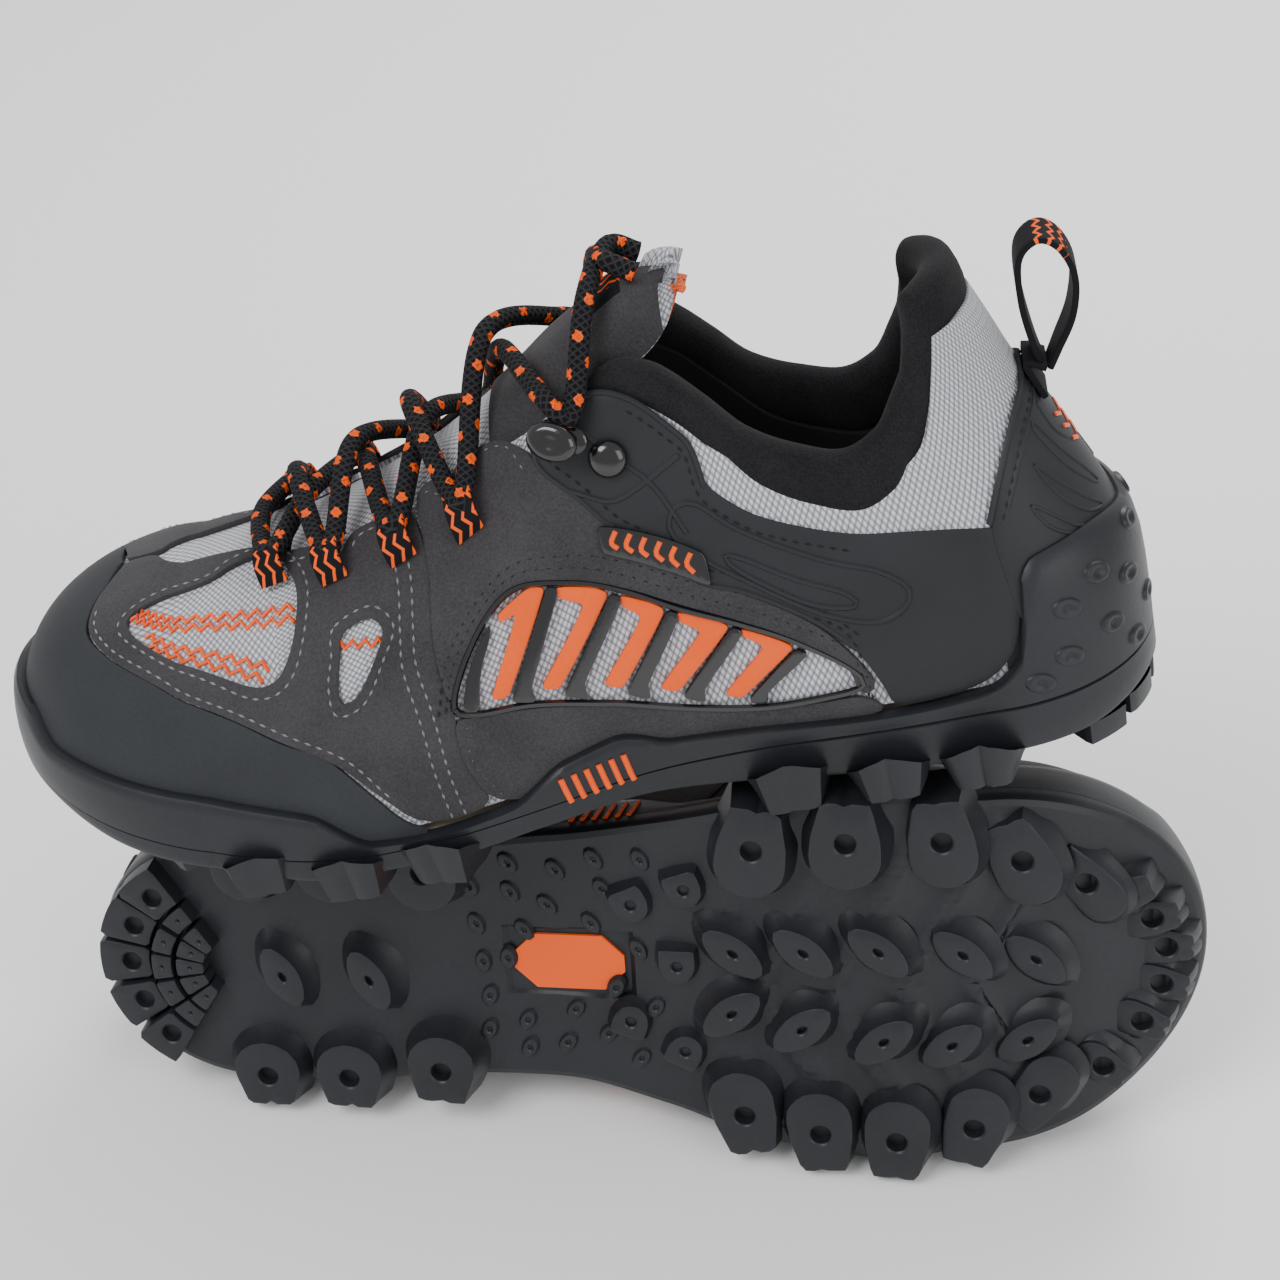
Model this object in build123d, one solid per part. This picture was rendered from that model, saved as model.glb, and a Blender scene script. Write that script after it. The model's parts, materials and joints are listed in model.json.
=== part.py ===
from build123d import *
import os
import numpy as np

# A pair of low-cut hiking shoes.  One shoe is modelled once, in its own frame, and placed twice:
# the right shoe lies on its medial (inner) side and the left shoe stands across it.
#
# Shoe frame (mm): X runs from the back of the heel to the toe tip, Y points to the lateral
# (outer) side, Z points up, and Z = 0 is the plane of the heel and ball lugs.

# ---------------------------------------------------------------- driving dimensions
HEEL_FAN_X = 40.0          # centre of the rounded heel, behind which the plan is a half ellipse
TOE_FAN_X = 246.0          # centre of the rounded toe
HEEL_REACH = 38.0          # from the heel centre to the rearmost point of the upper
TOE_REACH = 55.0           # from the toe centre to the toe tip of the upper
HEEL_ARC = 53.4            # distance round the feather edge, heel point to the heel's side
TOE_ARC = 81.7             # distance round the feather edge, toe's side to the toe point
COLLAR_LEAN = 24.0         # how far the top of the heel leans forward

MESH_WALL = 1.5            # thickness of the mesh upper
SKIN = 1.5                 # thickness of suede and moulded overlays
TRIM = 0.9                 # thickness of small trim sewn on top of an overlay
LINING_FOAM = 4.6          # padded lining
LAYER_GAP = 0.1            # clearance between layers that are sewn or glued together
SOFT_GAP = 0.35            # clearance between the mesh and the padding inside it
RAND_WALL = 2.8            # rubber wrapped up over the upper
SOLE_FLARE = 4.6           # how far the outsole stands out from the feather edge
SOLE_BASE = 3.0            # rubber between the lugs and the midsole
LACE_DIAMETER = 5.2
RIVET_DIAMETER = 9.0
FOOT_BED = 4.0             # removable insole

# Placement of the two shoes in the part's frame
RIGHT_ROLL, RIGHT_PITCH = -101.25, -4.37              # degrees about X, then about Y
RIGHT_SHIFT = (-140.7, -66.8, 43.0)
LEFT_ROLL, LEFT_PITCH, LEFT_HEADING = 5.0, 10.9, -174.0   # about X, then Y, then Z
LEFT_SHIFT = (142.5, -4.0, 127.6)

HEEL_TO_SIDE = np.pi / 2


def smooth_curve(stations, values):
    """Monotone cubic curve through (station, value) pairs, held flat past both ends."""
    x = np.array(stations, dtype=float)
    y = np.array(values, dtype=float)
    width = np.diff(x)
    rise = np.diff(y) / width
    slope = np.zeros(len(x))
    for i in range(1, len(x) - 1):
        if rise[i - 1] * rise[i] > 0:
            before = 2 * width[i] + width[i - 1]
            after = width[i] + 2 * width[i - 1]
            slope[i] = (before + after) / (before / rise[i - 1] + after / rise[i])
    slope[0] = rise[0]
    slope[-1] = rise[-1]

    def curve(at):
        at = np.clip(np.asarray(at, dtype=float), x[0], x[-1])
        i = np.clip(np.searchsorted(x, at, side="right") - 1, 0, len(x) - 2)
        t = (at - x[i]) / width[i]
        return (
            y[i] * (1 + 2 * t) * (1 - t) ** 2
            + slope[i] * width[i] * t * (1 - t) ** 2
            + y[i + 1] * t * t * (3 - 2 * t)
            + slope[i + 1] * width[i] * t * t * (t - 1)
        )

    return curve


# ---------------------------------------------------------------- the last
# Half widths of the feather edge, its height and the height of the top line, along the shoe
STATIONS = [40, 70, 100, 130, 160, 190, 220, 246]
LATERAL_HALF = smooth_curve(STATIONS, [34, 35.5, 35, 37, 43, 50, 53, 50])
MEDIAL_HALF = smooth_curve(STATIONS, [34, 33.5, 31, 32, 38, 47.5, 51.5, 50])
FEATHER_Z = smooth_curve([0, 60, 120, 170, 200, 235, 265, 303], [22, 21, 19, 14, 13, 17, 25, 38])
RIDGE_Z = smooth_curve(
    [40, 92, 112, 130, 145, 160, 180, 200, 220, 246],
    [150, 150, 145, 133, 121, 110.5, 98.5, 89.5, 83, 78.5],
)
# Shape of a cross-section: how square its shoulder is, and how much it narrows upwards
SHOULDER = smooth_curve([38, 100, 130, 160, 200, 242], [0.42, 0.5, 0.62, 0.85, 0.85, 0.82])
CROWN = smooth_curve([38, 160, 200, 242], [1, 1, 0.95, 0.85])
NARROWING = smooth_curve([38, 90, 130, 170], [0.22, 0.2, 0.1, 0])

SIDE_LENGTH = TOE_FAN_X - HEEL_FAN_X
TOE_POINT = HEEL_ARC + SIDE_LENGTH + TOE_ARC      # distance round the feather edge to the toe tip


def last_core(middle, heel_turn, toe_turn, girth, side):
    """Point of the last from its station, fan angles and girth (0 feather edge, 1 ridge)."""
    half = np.where(side > 0, LATERAL_HALF(middle), MEDIAL_HALF(middle))
    base_x = middle - HEEL_REACH * np.cos(heel_turn) + TOE_REACH * np.sin(toe_turn)
    base_y = half * np.sin(heel_turn) * np.cos(toe_turn)
    low = FEATHER_Z(base_x)
    high = RIDGE_Z(middle)
    angle = girth * np.pi / 2
    radius = np.cos(angle) ** SHOULDER(middle)
    z = low + (high - low) * np.sin(angle) ** CROWN(middle)
    rise = np.clip((z - 38) / 67, 0, 1)
    radius = radius * (1 - NARROWING(middle) * rise * rise * (3 - 2 * rise))
    x = middle + (base_x - middle) * radius
    y = base_y * radius * side
    lean = COLLAR_LEAN * np.clip((z - 48) / 80, 0, 1.4) ** 1.3
    x = x + lean * np.clip(1 - x / 130, 0, 1)
    return np.stack([x, y, z], axis=-1)


def wall_point(around, girth):
    """Point of the last from the distance round the feather edge (+ lateral, - medial)."""
    around = np.asarray(around, dtype=float)
    past_toe = around > TOE_POINT
    side = np.where((around < 0) | past_toe, -1.0, 1.0)
    distance = np.where(past_toe, 2 * TOE_POINT - around, np.abs(around))
    heel_turn = np.clip(distance / HEEL_ARC, 0, 1) * HEEL_TO_SIDE
    toe_turn = np.clip((distance - HEEL_ARC - SIDE_LENGTH) / TOE_ARC, 0, 1) * HEEL_TO_SIDE
    middle = np.clip(distance - HEEL_ARC, 0, SIDE_LENGTH) + HEEL_FAN_X
    return last_core(middle, heel_turn, toe_turn, np.clip(girth, 0, 0.9995), side)


def top_point(along, across):
    """Point of the last over the ridge: station, and -1 (medial feather) to 1 (lateral)."""
    along = np.asarray(along, dtype=float)
    across = np.asarray(across, dtype=float)
    ahead = np.clip((along - TOE_FAN_X) / 40.0, 0, 1)
    forward = ahead * np.sqrt(1 - across**2 / 2)
    sideways = across * np.sqrt(1 - ahead**2 / 2)
    reach = np.clip(np.hypot(forward, sideways), 1e-6, 1)
    toe_turn = np.arctan2(forward, np.abs(sideways) + 1e-9)
    middle = np.clip(along, HEEL_FAN_X, TOE_FAN_X)
    side = np.where(sideways >= 0, 1.0, -1.0)
    girth = 1 - reach ** (1 / 0.84)
    return last_core(middle, HEEL_TO_SIDE, toe_turn, girth, side)


def offset_points(point, first, second, offset):
    """Grid of points on the last, moved out along the surface's own normal."""
    step_a, step_b = 0.05, 0.0005
    low = np.clip(second - step_b, 0.0005, None) if point is wall_point else second - step_b
    across = point(first + step_a, second) - point(first - step_a, second)
    upward = point(first, low + 2 * step_b) - point(first, low)
    normal = np.cross(across, upward)
    normal /= np.linalg.norm(normal, axis=-1, keepdims=True)
    grid = point(first, second)
    outward = grid - np.array([150.0, 0.0, 45.0])
    normal *= np.sign(np.sum(normal * outward, axis=-1, keepdims=True))
    if point is wall_point:
        grid[..., 2] += 100 * np.minimum(second, 0)
    return grid + normal * offset


def sheet_solid(outer_grid, inner_grid):
    """Closed solid between two grids of points."""
    grids = [[[Vector(*p) for p in row] for row in grid] for grid in (outer_grid, inner_grid)]
    faces = [Face.make_surface_from_array_of_points(grid, tol=0.02) for grid in grids]
    rows, columns = outer_grid.shape[0] // 2, outer_grid.shape[1] // 2
    rims = []
    for place in ((0, columns), (-1, columns), (rows, 0), (rows, -1)):
        edges = []
        for grid, face in zip((outer_grid, inner_grid), faces):
            corner = Vertex(*grid[place])
            edges.append(min(face.edges(), key=lambda edge: edge.distance_to(corner)))
        rims.append(Face.make_surface_from_curves(edges[0], edges[1]))
    return Solid(Shell(faces + rims))


def wall_piece(start, stop, low, high, inner, outer, rows=26, columns=9):
    """Thin piece on the side of the shoe; low and high are girths, or curves of the distance."""
    around = np.linspace(start, stop, rows)[:, None]
    share = np.linspace(0, 1, columns)[None, :]
    bottom = low(around) if callable(low) else np.full_like(around, low)
    top = high(around) if callable(high) else np.full_like(around, high)
    girth = bottom + (top - bottom) * share
    around = around + 0 * girth
    return sheet_solid(
        offset_points(wall_point, around, girth, outer),
        offset_points(wall_point, around, girth, inner),
    )


def top_piece(start, stop, reach, inner, outer, rows=22, columns=15):
    """Thin piece lying over the ridge; reach is its half width as a share of the section."""
    along = np.linspace(start, stop, rows)[:, None]
    share = np.linspace(-1, 1, columns)[None, :]
    across = reach(along) * share if callable(reach) else reach * share + 0 * along
    along = along + 0 * across
    return sheet_solid(
        offset_points(top_point, along, across, outer),
        offset_points(top_point, along, across, inner),
    )


def both_sides(start, stop, low, high, inner, outer, **size):
    """The same wall piece on the lateral and the medial side."""
    flipped = [
        (lambda curve: (lambda d: curve(-d)))(edge) if callable(edge) else edge
        for edge in (low, high)
    ]
    lateral = wall_piece(start, stop, low, high, inner, outer, **size)
    medial = wall_piece(-stop, -start, flipped[0], flipped[1], inner, outer, **size)
    return [lateral, medial]


# ---------------------------------------------------------------- pattern lines of the upper
# Girth against the distance round the feather edge
TOPLINE = smooth_curve(
    [0, 9, 34, 45, 58, 66, 76, 88, 100, 108, 122, 139, 157, 166, 190, 209, 233],
    [0.62, 0.62, 0.60, 0.52, 0.42, 0.37, 0.35, 0.37, 0.41, 0.47, 0.58, 0.66, 0.68, 0.70, 0.74, 0.78, 0.86],
)
RUBBER_LINE = smooth_curve(
    [0, 24, 39, 44, 47, 55, 79, 136, 165, 182, 217, 232, 253, 288, 312, TOE_POINT],
    [0.17, 0.18, 0.18, 0.14, 0.05, 0.02, 0.015, 0.02, 0.06, 0.02, 0.02, 0.09, 0.11, 0.14, 0.2, 0.22],
)
TOE_CAP_LINE = smooth_curve(
    [216, 224, 244, 269, 300, 317, TOE_POINT],
    [0.13, 0.22, 0.33, 0.47, 0.59, 0.76, 0.80],
)
COUNTER_LINE = smooth_curve([0, 23, 37, 45, 54], [0.37, 0.36, 0.30, 0.27, 0.24])
MESH_BAND_LOW = smooth_curve([38, 51, 66, 81, 97, 106, 114], [0.30, 0.26, 0.26, 0.27, 0.30, 0.32, 0.37])
MESH_BAND_HIGH = smooth_curve([38, 51, 61, 73, 83, 96, 105, 114], [0.44, 0.38, 0.33, 0.31, 0.31, 0.34, 0.36, 0.41])
ANKLE_LOW = smooth_curve([79, 85, 96, 111, 122, 133, 141, 155], [0.04, 0.10, 0.15, 0.20, 0.23, 0.31, 0.37, 0.55])
ANKLE_HIGH = smooth_curve([79, 97, 106, 114, 117, 129, 139, 155], [0.24, 0.28, 0.30, 0.35, 0.42, 0.54, 0.62, 0.64])
WINDOW_HIGH = smooth_curve([89, 101, 115, 129, 142, 155, 168, 183], [0.08, 0.12, 0.16, 0.20, 0.26, 0.33, 0.37, 0.30])
WINDOW_LOW = smooth_curve([89, 113, 132, 151, 170, 183], [0.04, 0.045, 0.08, 0.13, 0.19, 0.22])


def mirrored_at_toe(curve):
    """The same line on the far side of the toe tip."""
    return lambda distance: curve(TOE_POINT - np.abs(TOE_POINT - distance))


def mirrored_at_heel(curve):
    """The same line on the far side of the heel point."""
    return lambda distance: curve(np.abs(distance))


def lowered(curve, drop):
    return lambda distance: curve(distance) - drop


def raised(curve, lift):
    return lambda distance: curve(distance) + lift


# ---------------------------------------------------------------- sole
LUG_FLOOR = smooth_curve([0, 20, 40, 215, 235, 256, 272, 290, 305], [6, 1.5, 0, 0, 4, 10, 17, 27, 37])
TREAD_BASE = smooth_curve(
    [0, 20, 60, 100, 130, 160, 180, 215, 235, 256, 272, 290, 308],
    [11, 7, 6, 8, 10, 7.5, 6, 6, 9.5, 15, 20.5, 29.5, 38],
)


def sole_outline(offset, bottom=-5.0, height=75.0):
    """Upright prism whose plan is the feather edge moved out by offset."""
    around = np.linspace(-TOE_POINT, TOE_POINT, 45)[:-1]
    spot = wall_point(around, 0.0)[:, :2]
    ahead = wall_point(around + 0.5, 0.0)[:, :2] - wall_point(around - 0.5, 0.0)[:, :2]
    ahead /= np.linalg.norm(ahead, axis=1, keepdims=True)
    outward = np.stack([-ahead[:, 1], ahead[:, 0]], axis=1)
    outward *= np.sign(np.sum(outward * (spot - [150.0, 0.0]), axis=1, keepdims=True))
    rim = spot + outward * offset
    edge = Edge.make_spline([Vector(x, y, bottom) for x, y in rim], periodic=True)
    return extrude(Face(Wire([edge])), height, dir=(0, 0, 1))


def side_profile(low, high, start=-8.0, stop=314.0):
    """Slab across the whole width between two height curves of X."""
    stations = np.linspace(start, stop, 24)
    bottom = Edge.make_spline([Vector(x, -80, float(low(x))) for x in stations])
    top = Edge.make_spline([Vector(x, -80, float(high(x))) for x in stations])
    ends = [Edge.make_line(bottom @ 0, top @ 0), Edge.make_line(bottom @ 1, top @ 1)]
    return extrude(Face(Wire([bottom, ends[1], top, ends[0]])), 160, dir=(0, 1, 0))


# Lug centres (x, y), length along the shoe and width across it, and the turn in plan
EDGE_LUGS = [
    (48, 32.5, 19, 18, 0), (72, 33, 19, 18, 2), (97, 32, 19, 19, 4),
    (186, 42, 19, 24, -8), (211, 45, 19, 23, -2), (236, 44, 18, 23, 6), (257, 36, 17, 23, 24),
    (274, 26, 13, 22, 42),
    (45, -32.5, 19, 18, 0), (69, -32, 19, 18, -2), (96, -28.5, 19, 19, -4),
    (181, -38, 18, 24, 10), (202, -43, 18, 23, 4), (223, -45, 18, 23, -4), (244, -43, 17, 23, -14),
    (262, -35, 15, 23, -32),
]
HEEL_FAN_LUGS = [(25, 23), (14, 13), (10, 0), (14, -13), (25, -23)]
TOE_LUGS = [(285, 15), (290, 4), (290, -8), (284, -20), (275, -30)]
WAIST_LUGS = [(150, 20), (165, 24), (150, -15), (165, -20), (163, 4)]
CENTRE_LUGS = [
    (53, 0), (77, 0), (180, 13), (199, 13), (219, 13), (240, 11), (259, 7),
    (180, -7), (198, -9), (219, -12), (238, -14), (257, -16),
]


def lug(x, y, length, width, turn, corner):
    floor = float(LUG_FLOOR(x))
    height = float(TREAD_BASE(x)) + 1.5 - floor
    block = extrude(RectangleRounded(length, width, corner), height)
    return Pos(x, y, floor) * Rot(0, 0, turn) * block


def outsole():
    tread = sole_outline(SOLE_FLARE) & side_profile(TREAD_BASE, lowered(FEATHER_Z, LAYER_GAP))
    recess = sole_outline(RECESS_OFFSET) & side_profile(raised(TREAD_BASE, SOLE_BASE), lambda x: 70.0 + 0 * x)
    tread = tread - recess
    inner = SKIN + 4 * LAYER_GAP
    toe_line = mirrored_at_toe(RUBBER_LINE)
    toe_rand = wall_piece(216, 2 * TOE_POINT - 216, -0.02, toe_line, inner, inner + RAND_WALL, rows=50)
    heel_line = mirrored_at_heel(RUBBER_LINE)
    heel_rand = wall_piece(-46, 46, -0.02, heel_line, inner, inner + RAND_WALL, rows=30)
    lugs = [lug(x, y, length, width, turn, 4.0) for x, y, length, width, turn in EDGE_LUGS]
    for x, y in HEEL_FAN_LUGS:
        lugs.append(lug(x, y, 12, 11, float(np.degrees(np.arctan2(y, x - 44))), 3.0))
    for x, y in TOE_LUGS:
        lugs.append(lug(x, y, 11, 9, float(np.degrees(np.arctan2(y, x - 236))), 3.0))
    lugs += [lug(x, y, 10, 9, 0, 3.0) for x, y in WAIST_LUGS]
    lugs += [lug(x, y, 14, 11, 0, 4.5) for x, y in CENTRE_LUGS]
    return tread + lugs + [toe_rand, heel_rand] - sole_badge(0.15, BADGE_THICKNESS + 0.15)


BADGE_X, BADGE_Y = 133.0, 2.0
BADGE_LENGTH, BADGE_WIDTH, BADGE_THICKNESS = 31.0, 17.0, 1.4


def sole_badge(grow=0.0, deep=BADGE_THICKNESS):
    """Stretched octagon let into the underside of the waist."""
    half_length = BADGE_LENGTH / 2 + grow
    half_width = BADGE_WIDTH / 2 + grow
    cut = 6.0
    corners = [
        (half_length, half_width - cut), (half_length - cut, half_width),
        (cut - half_length, half_width), (-half_length, half_width - cut),
        (-half_length, cut - half_width), (cut - half_length, -half_width),
        (half_length - cut, -half_width), (half_length, cut - half_width),
    ]
    floor = float(TREAD_BASE(BADGE_X)) - 0.2
    return Pos(BADGE_X, BADGE_Y, floor) * extrude(Polygon(*corners, align=None), deep)


SHANK_START, SHANK_END, SHANK_WIDTH, SHANK_THICKNESS = 60.0, 150.0, 16.0, 1.0


def shank_slab(grow):
    under_board = lowered(FEATHER_Z, 3.4 + grow)
    slab = side_profile(under_board, raised(under_board, SHANK_THICKNESS + 2 * grow))
    middle = (SHANK_START + SHANK_END) / 2
    length = SHANK_END - SHANK_START + 2 * grow
    return slab & Pos(middle, 0, 20) * Box(length, SHANK_WIDTH + 2 * grow, 80)


RECESS_OFFSET = -2.0       # wall of the recess in the tread, from the feather edge
BOARD_TOP, BOARD_BOTTOM = 0.4, 1.9      # depth of the board's faces below the feather edge
MIDSOLE_TOP = 2.1


def midsole():
    inside = sole_outline(RECESS_OFFSET - 2 * SOFT_GAP)
    low = raised(TREAD_BASE, SOLE_BASE + 3 * SOFT_GAP)
    body = inside & side_profile(low, lowered(FEATHER_Z, MIDSOLE_TOP), 14, 250)
    return body - shank_slab(0.1)


def insole_board():
    inside = sole_outline(RECESS_OFFSET - LAYER_GAP)
    return inside & side_profile(lowered(FEATHER_Z, BOARD_BOTTOM), lowered(FEATHER_Z, BOARD_TOP), 10, 262)


def insole():
    inside = sole_outline(-MESH_WALL - LINING_FOAM - 1.6)
    low = raised(FEATHER_Z, 0.2)
    return inside & side_profile(low, raised(FEATHER_Z, 0.2 + FOOT_BED))


# ---------------------------------------------------------------- upper
QUARTER_END = 232.0        # distance round the feather edge where the vamp takes over
VAMP_START = QUARTER_END - HEEL_ARC + HEEL_FAN_X
COLLAR_END = 136.0


def textile_upper():
    quarters = both_sides(0.4, QUARTER_END - 0.3, 0.018, TOPLINE, -MESH_WALL, 0.0, rows=44)
    vamp = top_piece(VAMP_START + 0.3, TOE_FAN_X + 40, 0.975, -MESH_WALL, 0.0, rows=30)
    return quarters + [vamp]


def lining():
    inner = -MESH_WALL - SOFT_GAP - LINING_FOAM
    outer = -MESH_WALL - SOFT_GAP
    rear = both_sides(0.5, COLLAR_END, 0.04, lowered(TOPLINE, 0.08), inner, outer, rows=34)
    fore = both_sides(COLLAR_END + 0.4, 226, 0.05, 0.46, inner + 2.4, outer, rows=24)
    return rear + fore


def collar_roll():
    """Padded roll along the top line, from one eyestay round the heel to the other."""
    low = lowered(TOPLINE, 0.06)
    high = raised(TOPLINE, 0.02)
    inner = -MESH_WALL - SOFT_GAP - LINING_FOAM
    outer = -MESH_WALL - SOFT_GAP
    return both_sides(0.5, COLLAR_END, low, high, inner, outer, rows=34, columns=6)


def heel_stiffener():
    """Stiff counter that cups the heel between the mesh and the moulded cover."""
    line = mirrored_at_heel(COUNTER_LINE)
    return wall_piece(-50, 50, 0.03, lowered(line, 0.02), 2 * LAYER_GAP, 0.8, rows=24)


def heel_cover():
    line = mirrored_at_heel(COUNTER_LINE)
    return wall_piece(-54, 54, 0.02, line, 1.0, SKIN + LAYER_GAP, rows=26)


def toe_puff():
    line = lowered(mirrored_at_toe(TOE_CAP_LINE), 0.04)
    return wall_piece(236, 2 * TOE_POINT - 236, 0.03, line, -MESH_WALL - 1.4, -MESH_WALL - 0.5, rows=30)


def toe_cap():
    line = mirrored_at_toe(TOE_CAP_LINE)
    return wall_piece(216, 2 * TOE_POINT - 216, 0.015, line, LAYER_GAP, SKIN + LAYER_GAP, rows=50)


def vamp_overlay():
    """Suede between the toe cap and the lacing, with the toe window left open."""
    behind = smooth_curve([190, 205, 214, 222, 230], [0.02, 0.02, 0.12, 0.22, 0.28])
    front = smooth_curve([190, 197, 209, 222, 230], [0.76, 0.76, 0.78, 0.80, 0.85])
    return both_sides(191, 229, raised(behind, 0.01), front, LAYER_GAP, SKIN + LAYER_GAP)


def eyestay():
    """Suede quarter that carries the lace loops, above the side window."""
    low = smooth_curve([157, 168, 178, 190], [0.57, 0.40, 0.38, 0.36])
    return both_sides(157.5, 190, low, lowered(TOPLINE, 0.005), LAYER_GAP, SKIN + LAYER_GAP)


def quarter_panel():
    """Suede between the ankle panel and the side window, down to the sole behind it."""
    low = smooth_curve([100, 115, 129, 142, 156], [0.14, 0.17, 0.21, 0.27, 0.34])
    high = smooth_curve([100, 111, 122, 133, 141, 156], [0.155, 0.19, 0.22, 0.30, 0.36, 0.55])
    return both_sides(100, 156, low, high, LAYER_GAP, SKIN + LAYER_GAP)


def lower_foxing():
    """Suede strip along the sole under the side window."""
    return both_sides(82, 189, raised(RUBBER_LINE, 0.005), lowered(WINDOW_LOW, 0.01), LAYER_GAP, SKIN + LAYER_GAP)


def side_window():
    """Light mesh inset held under the moulded ribs."""
    return both_sides(90, 183, WINDOW_LOW, WINDOW_HIGH, LAYER_GAP, 0.8)


def window_ribs():
    """Five slanted moulded ribs over the side window."""
    ribs = []
    for start in (93, 110, 127, 144, 161):
        stop = start + 13
        low = raised(WINDOW_LOW, 0.01)
        high = lowered(WINDOW_HIGH, 0.012)
        ribs += both_sides(start, stop, low, high, 0.9, SKIN + LAYER_GAP + 0.6, rows=8, columns=7)
    return ribs


def ankle_panel():
    return both_sides(80, 155, raised(ANKLE_LOW, 0.012), ANKLE_HIGH, LAYER_GAP, SKIN + LAYER_GAP + 0.3, rows=34)


def collar_mesh():
    return both_sides(56, 114, raised(MESH_BAND_LOW, 0.012), MESH_BAND_HIGH, LAYER_GAP, 1.2, rows=22, columns=6)


TONGUE_FRONT, TONGUE_BACK = 214.0, 104.0


def tongue():
    reach = smooth_curve([104, 122, 132, 160, 214], [0.33, 0.34, 0.42, 0.43, 0.36])
    return top_piece(TONGUE_BACK, TONGUE_FRONT, reach, -6.0, -MESH_WALL - SOFT_GAP, rows=26, columns=11)


def tongue_lining():
    reach = smooth_curve([104, 122, 132, 160, 200], [0.32, 0.33, 0.41, 0.42, 0.36])
    return top_piece(TONGUE_BACK + 1, 200, reach, -7.2, -6.3, rows=22, columns=11)


def tongue_label():
    return top_piece(118, 128, 0.12, -MESH_WALL - 0.3, -MESH_WALL + 0.5, rows=6, columns=5)


def flag_label():
    low = smooth_curve([119, 143], [0.235, 0.353])
    inner = SKIN + 2 * LAYER_GAP + 0.3
    return wall_piece(119, 143, low, raised(low, 0.033), inner, inner + 0.5, rows=8, columns=4)


EYELET_ROWS = [163.0, 181.0, 200.0, 217.0]     # stations of the lace loops along the ridge


def lace_loops():
    loops = []
    for station in EYELET_ROWS:
        around = station - HEEL_FAN_X + HEEL_ARC
        girth = float(TOPLINE(around)) - 0.03
        loops += both_sides(around - 4.5, around + 4.5, girth - 0.075, girth, SKIN + 2 * LAYER_GAP,
                            SKIN + TRIM + 0.1, rows=6, columns=5)
    return loops


HOOK_AROUND, HOOK_GIRTH = 149.0, 0.60
RIVET_AROUND, RIVET_GIRTH = 141.0, 0.53


def fitting_frame(around, girth, lift):
    """Plane on the upper with its Z out of the surface and its X along the shoe."""
    first = np.array(around, dtype=float)
    second = np.array(girth, dtype=float)
    base = offset_points(wall_point, first, second, lift)
    out = offset_points(wall_point, first, second, lift + 1.0) - base
    return Plane(origin=tuple(base), x_dir=(-1, 0, -0.35), z_dir=tuple(out))


def lace_hooks():
    hooks = []
    for side in (1, -1):
        plane = fitting_frame(side * HOOK_AROUND, HOOK_GIRTH, SKIN + 0.45)
        plate = extrude(SlotOverall(15, 9), 1.2)
        post = Pos(-2.5, 0, 0) * extrude(RectangleRounded(4, 8, 1.5), 9.0)
        lip = Pos(0.5, 0, 7.4) * extrude(RectangleRounded(10, 8, 2.5), 1.6)
        hooks.append(plane * (plate + post + lip))
    return hooks


def rivets():
    heads = []
    for side in (1, -1):
        plane = fitting_frame(side * (RIVET_AROUND - 3), RIVET_GIRTH - 0.05, SKIN + 0.45)
        heads.append(plane * Cylinder(RIVET_DIAMETER / 2, 2.6, align=(Align.CENTER, Align.CENTER, Align.MIN)))
    return heads


def lace_point(station, across, lift):
    return Vector(*offset_points(top_point, np.array(float(station)), np.array(float(across)), lift))


LACE_EDGE = [0.40, 0.355, 0.31, 0.24]     # where the lace turns at each loop row
LACE_LOW, LACE_HIGH, LACE_AT_LOOP = 4.8, 11.0, 5.8


def lace_route():
    """One lace: both ends come from behind the tongue, pass a hook and cross down the rows."""
    legs = []
    for leg in (1, -1):
        crossing = LACE_LOW if leg > 0 else LACE_HIGH
        points = [
            lace_point(112, -leg * 0.10, LACE_LOW + 1.0),
            lace_point(121, leg * 0.24, LACE_LOW + 1.0),
            lace_point(130.5, leg * 0.44, LACE_AT_LOOP + 0.6),
            lace_point(136, leg * 0.36, LACE_AT_LOOP + 0.6),
            lace_point(148, 0.0, crossing),
        ]
        for row, station in enumerate(EYELET_ROWS):
            side = -leg if row % 2 == 0 else leg
            points.append(lace_point(station, side * LACE_EDGE[row], LACE_AT_LOOP))
            if row < len(EYELET_ROWS) - 1:
                middle = (station + EYELET_ROWS[row + 1]) / 2
                points.append(lace_point(middle, 0.0, crossing))
        legs.append(points)
    across = lace_point(EYELET_ROWS[-1] + 5.0, 0.0, LACE_LOW)
    return legs[0] + [across] + legs[1][::-1]


def lace():
    points = lace_route()
    radii = []
    for before, here, after in zip(points, points[1:], points[2:]):
        turn = np.radians((here - before).get_angle(after - here))
        shorter = min((here - before).length, (after - here).length)
        radii.append(max(0.45 * shorter / np.tan(turn / 2), 0.5))
    path = FilletPolyline(*points, radius=radii)
    section = Plane(path @ 0, z_dir=path % 0) * Circle(LACE_DIAMETER / 2)
    tube = sweep(section, path=path)
    swept = np.pi * LACE_DIAMETER**2 / 4 * path.length
    print("lace length", round(path.length), "smallest radius", round(min(radii), 1),
          "volume share", round(tube.volume / swept, 3))
    return tube


PULL_WIDTH, PULL_THICKNESS = 14.0, 1.6
PULL_ROUTE = [(18.6, 98), (18.8, 112), (18.5, 129.5), (10.5, 129.0), (7.0, 112), (15.2, 98.4)]
PULL_CORNERS = [30.0, 3.6, 4.0, 14.0]


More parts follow.
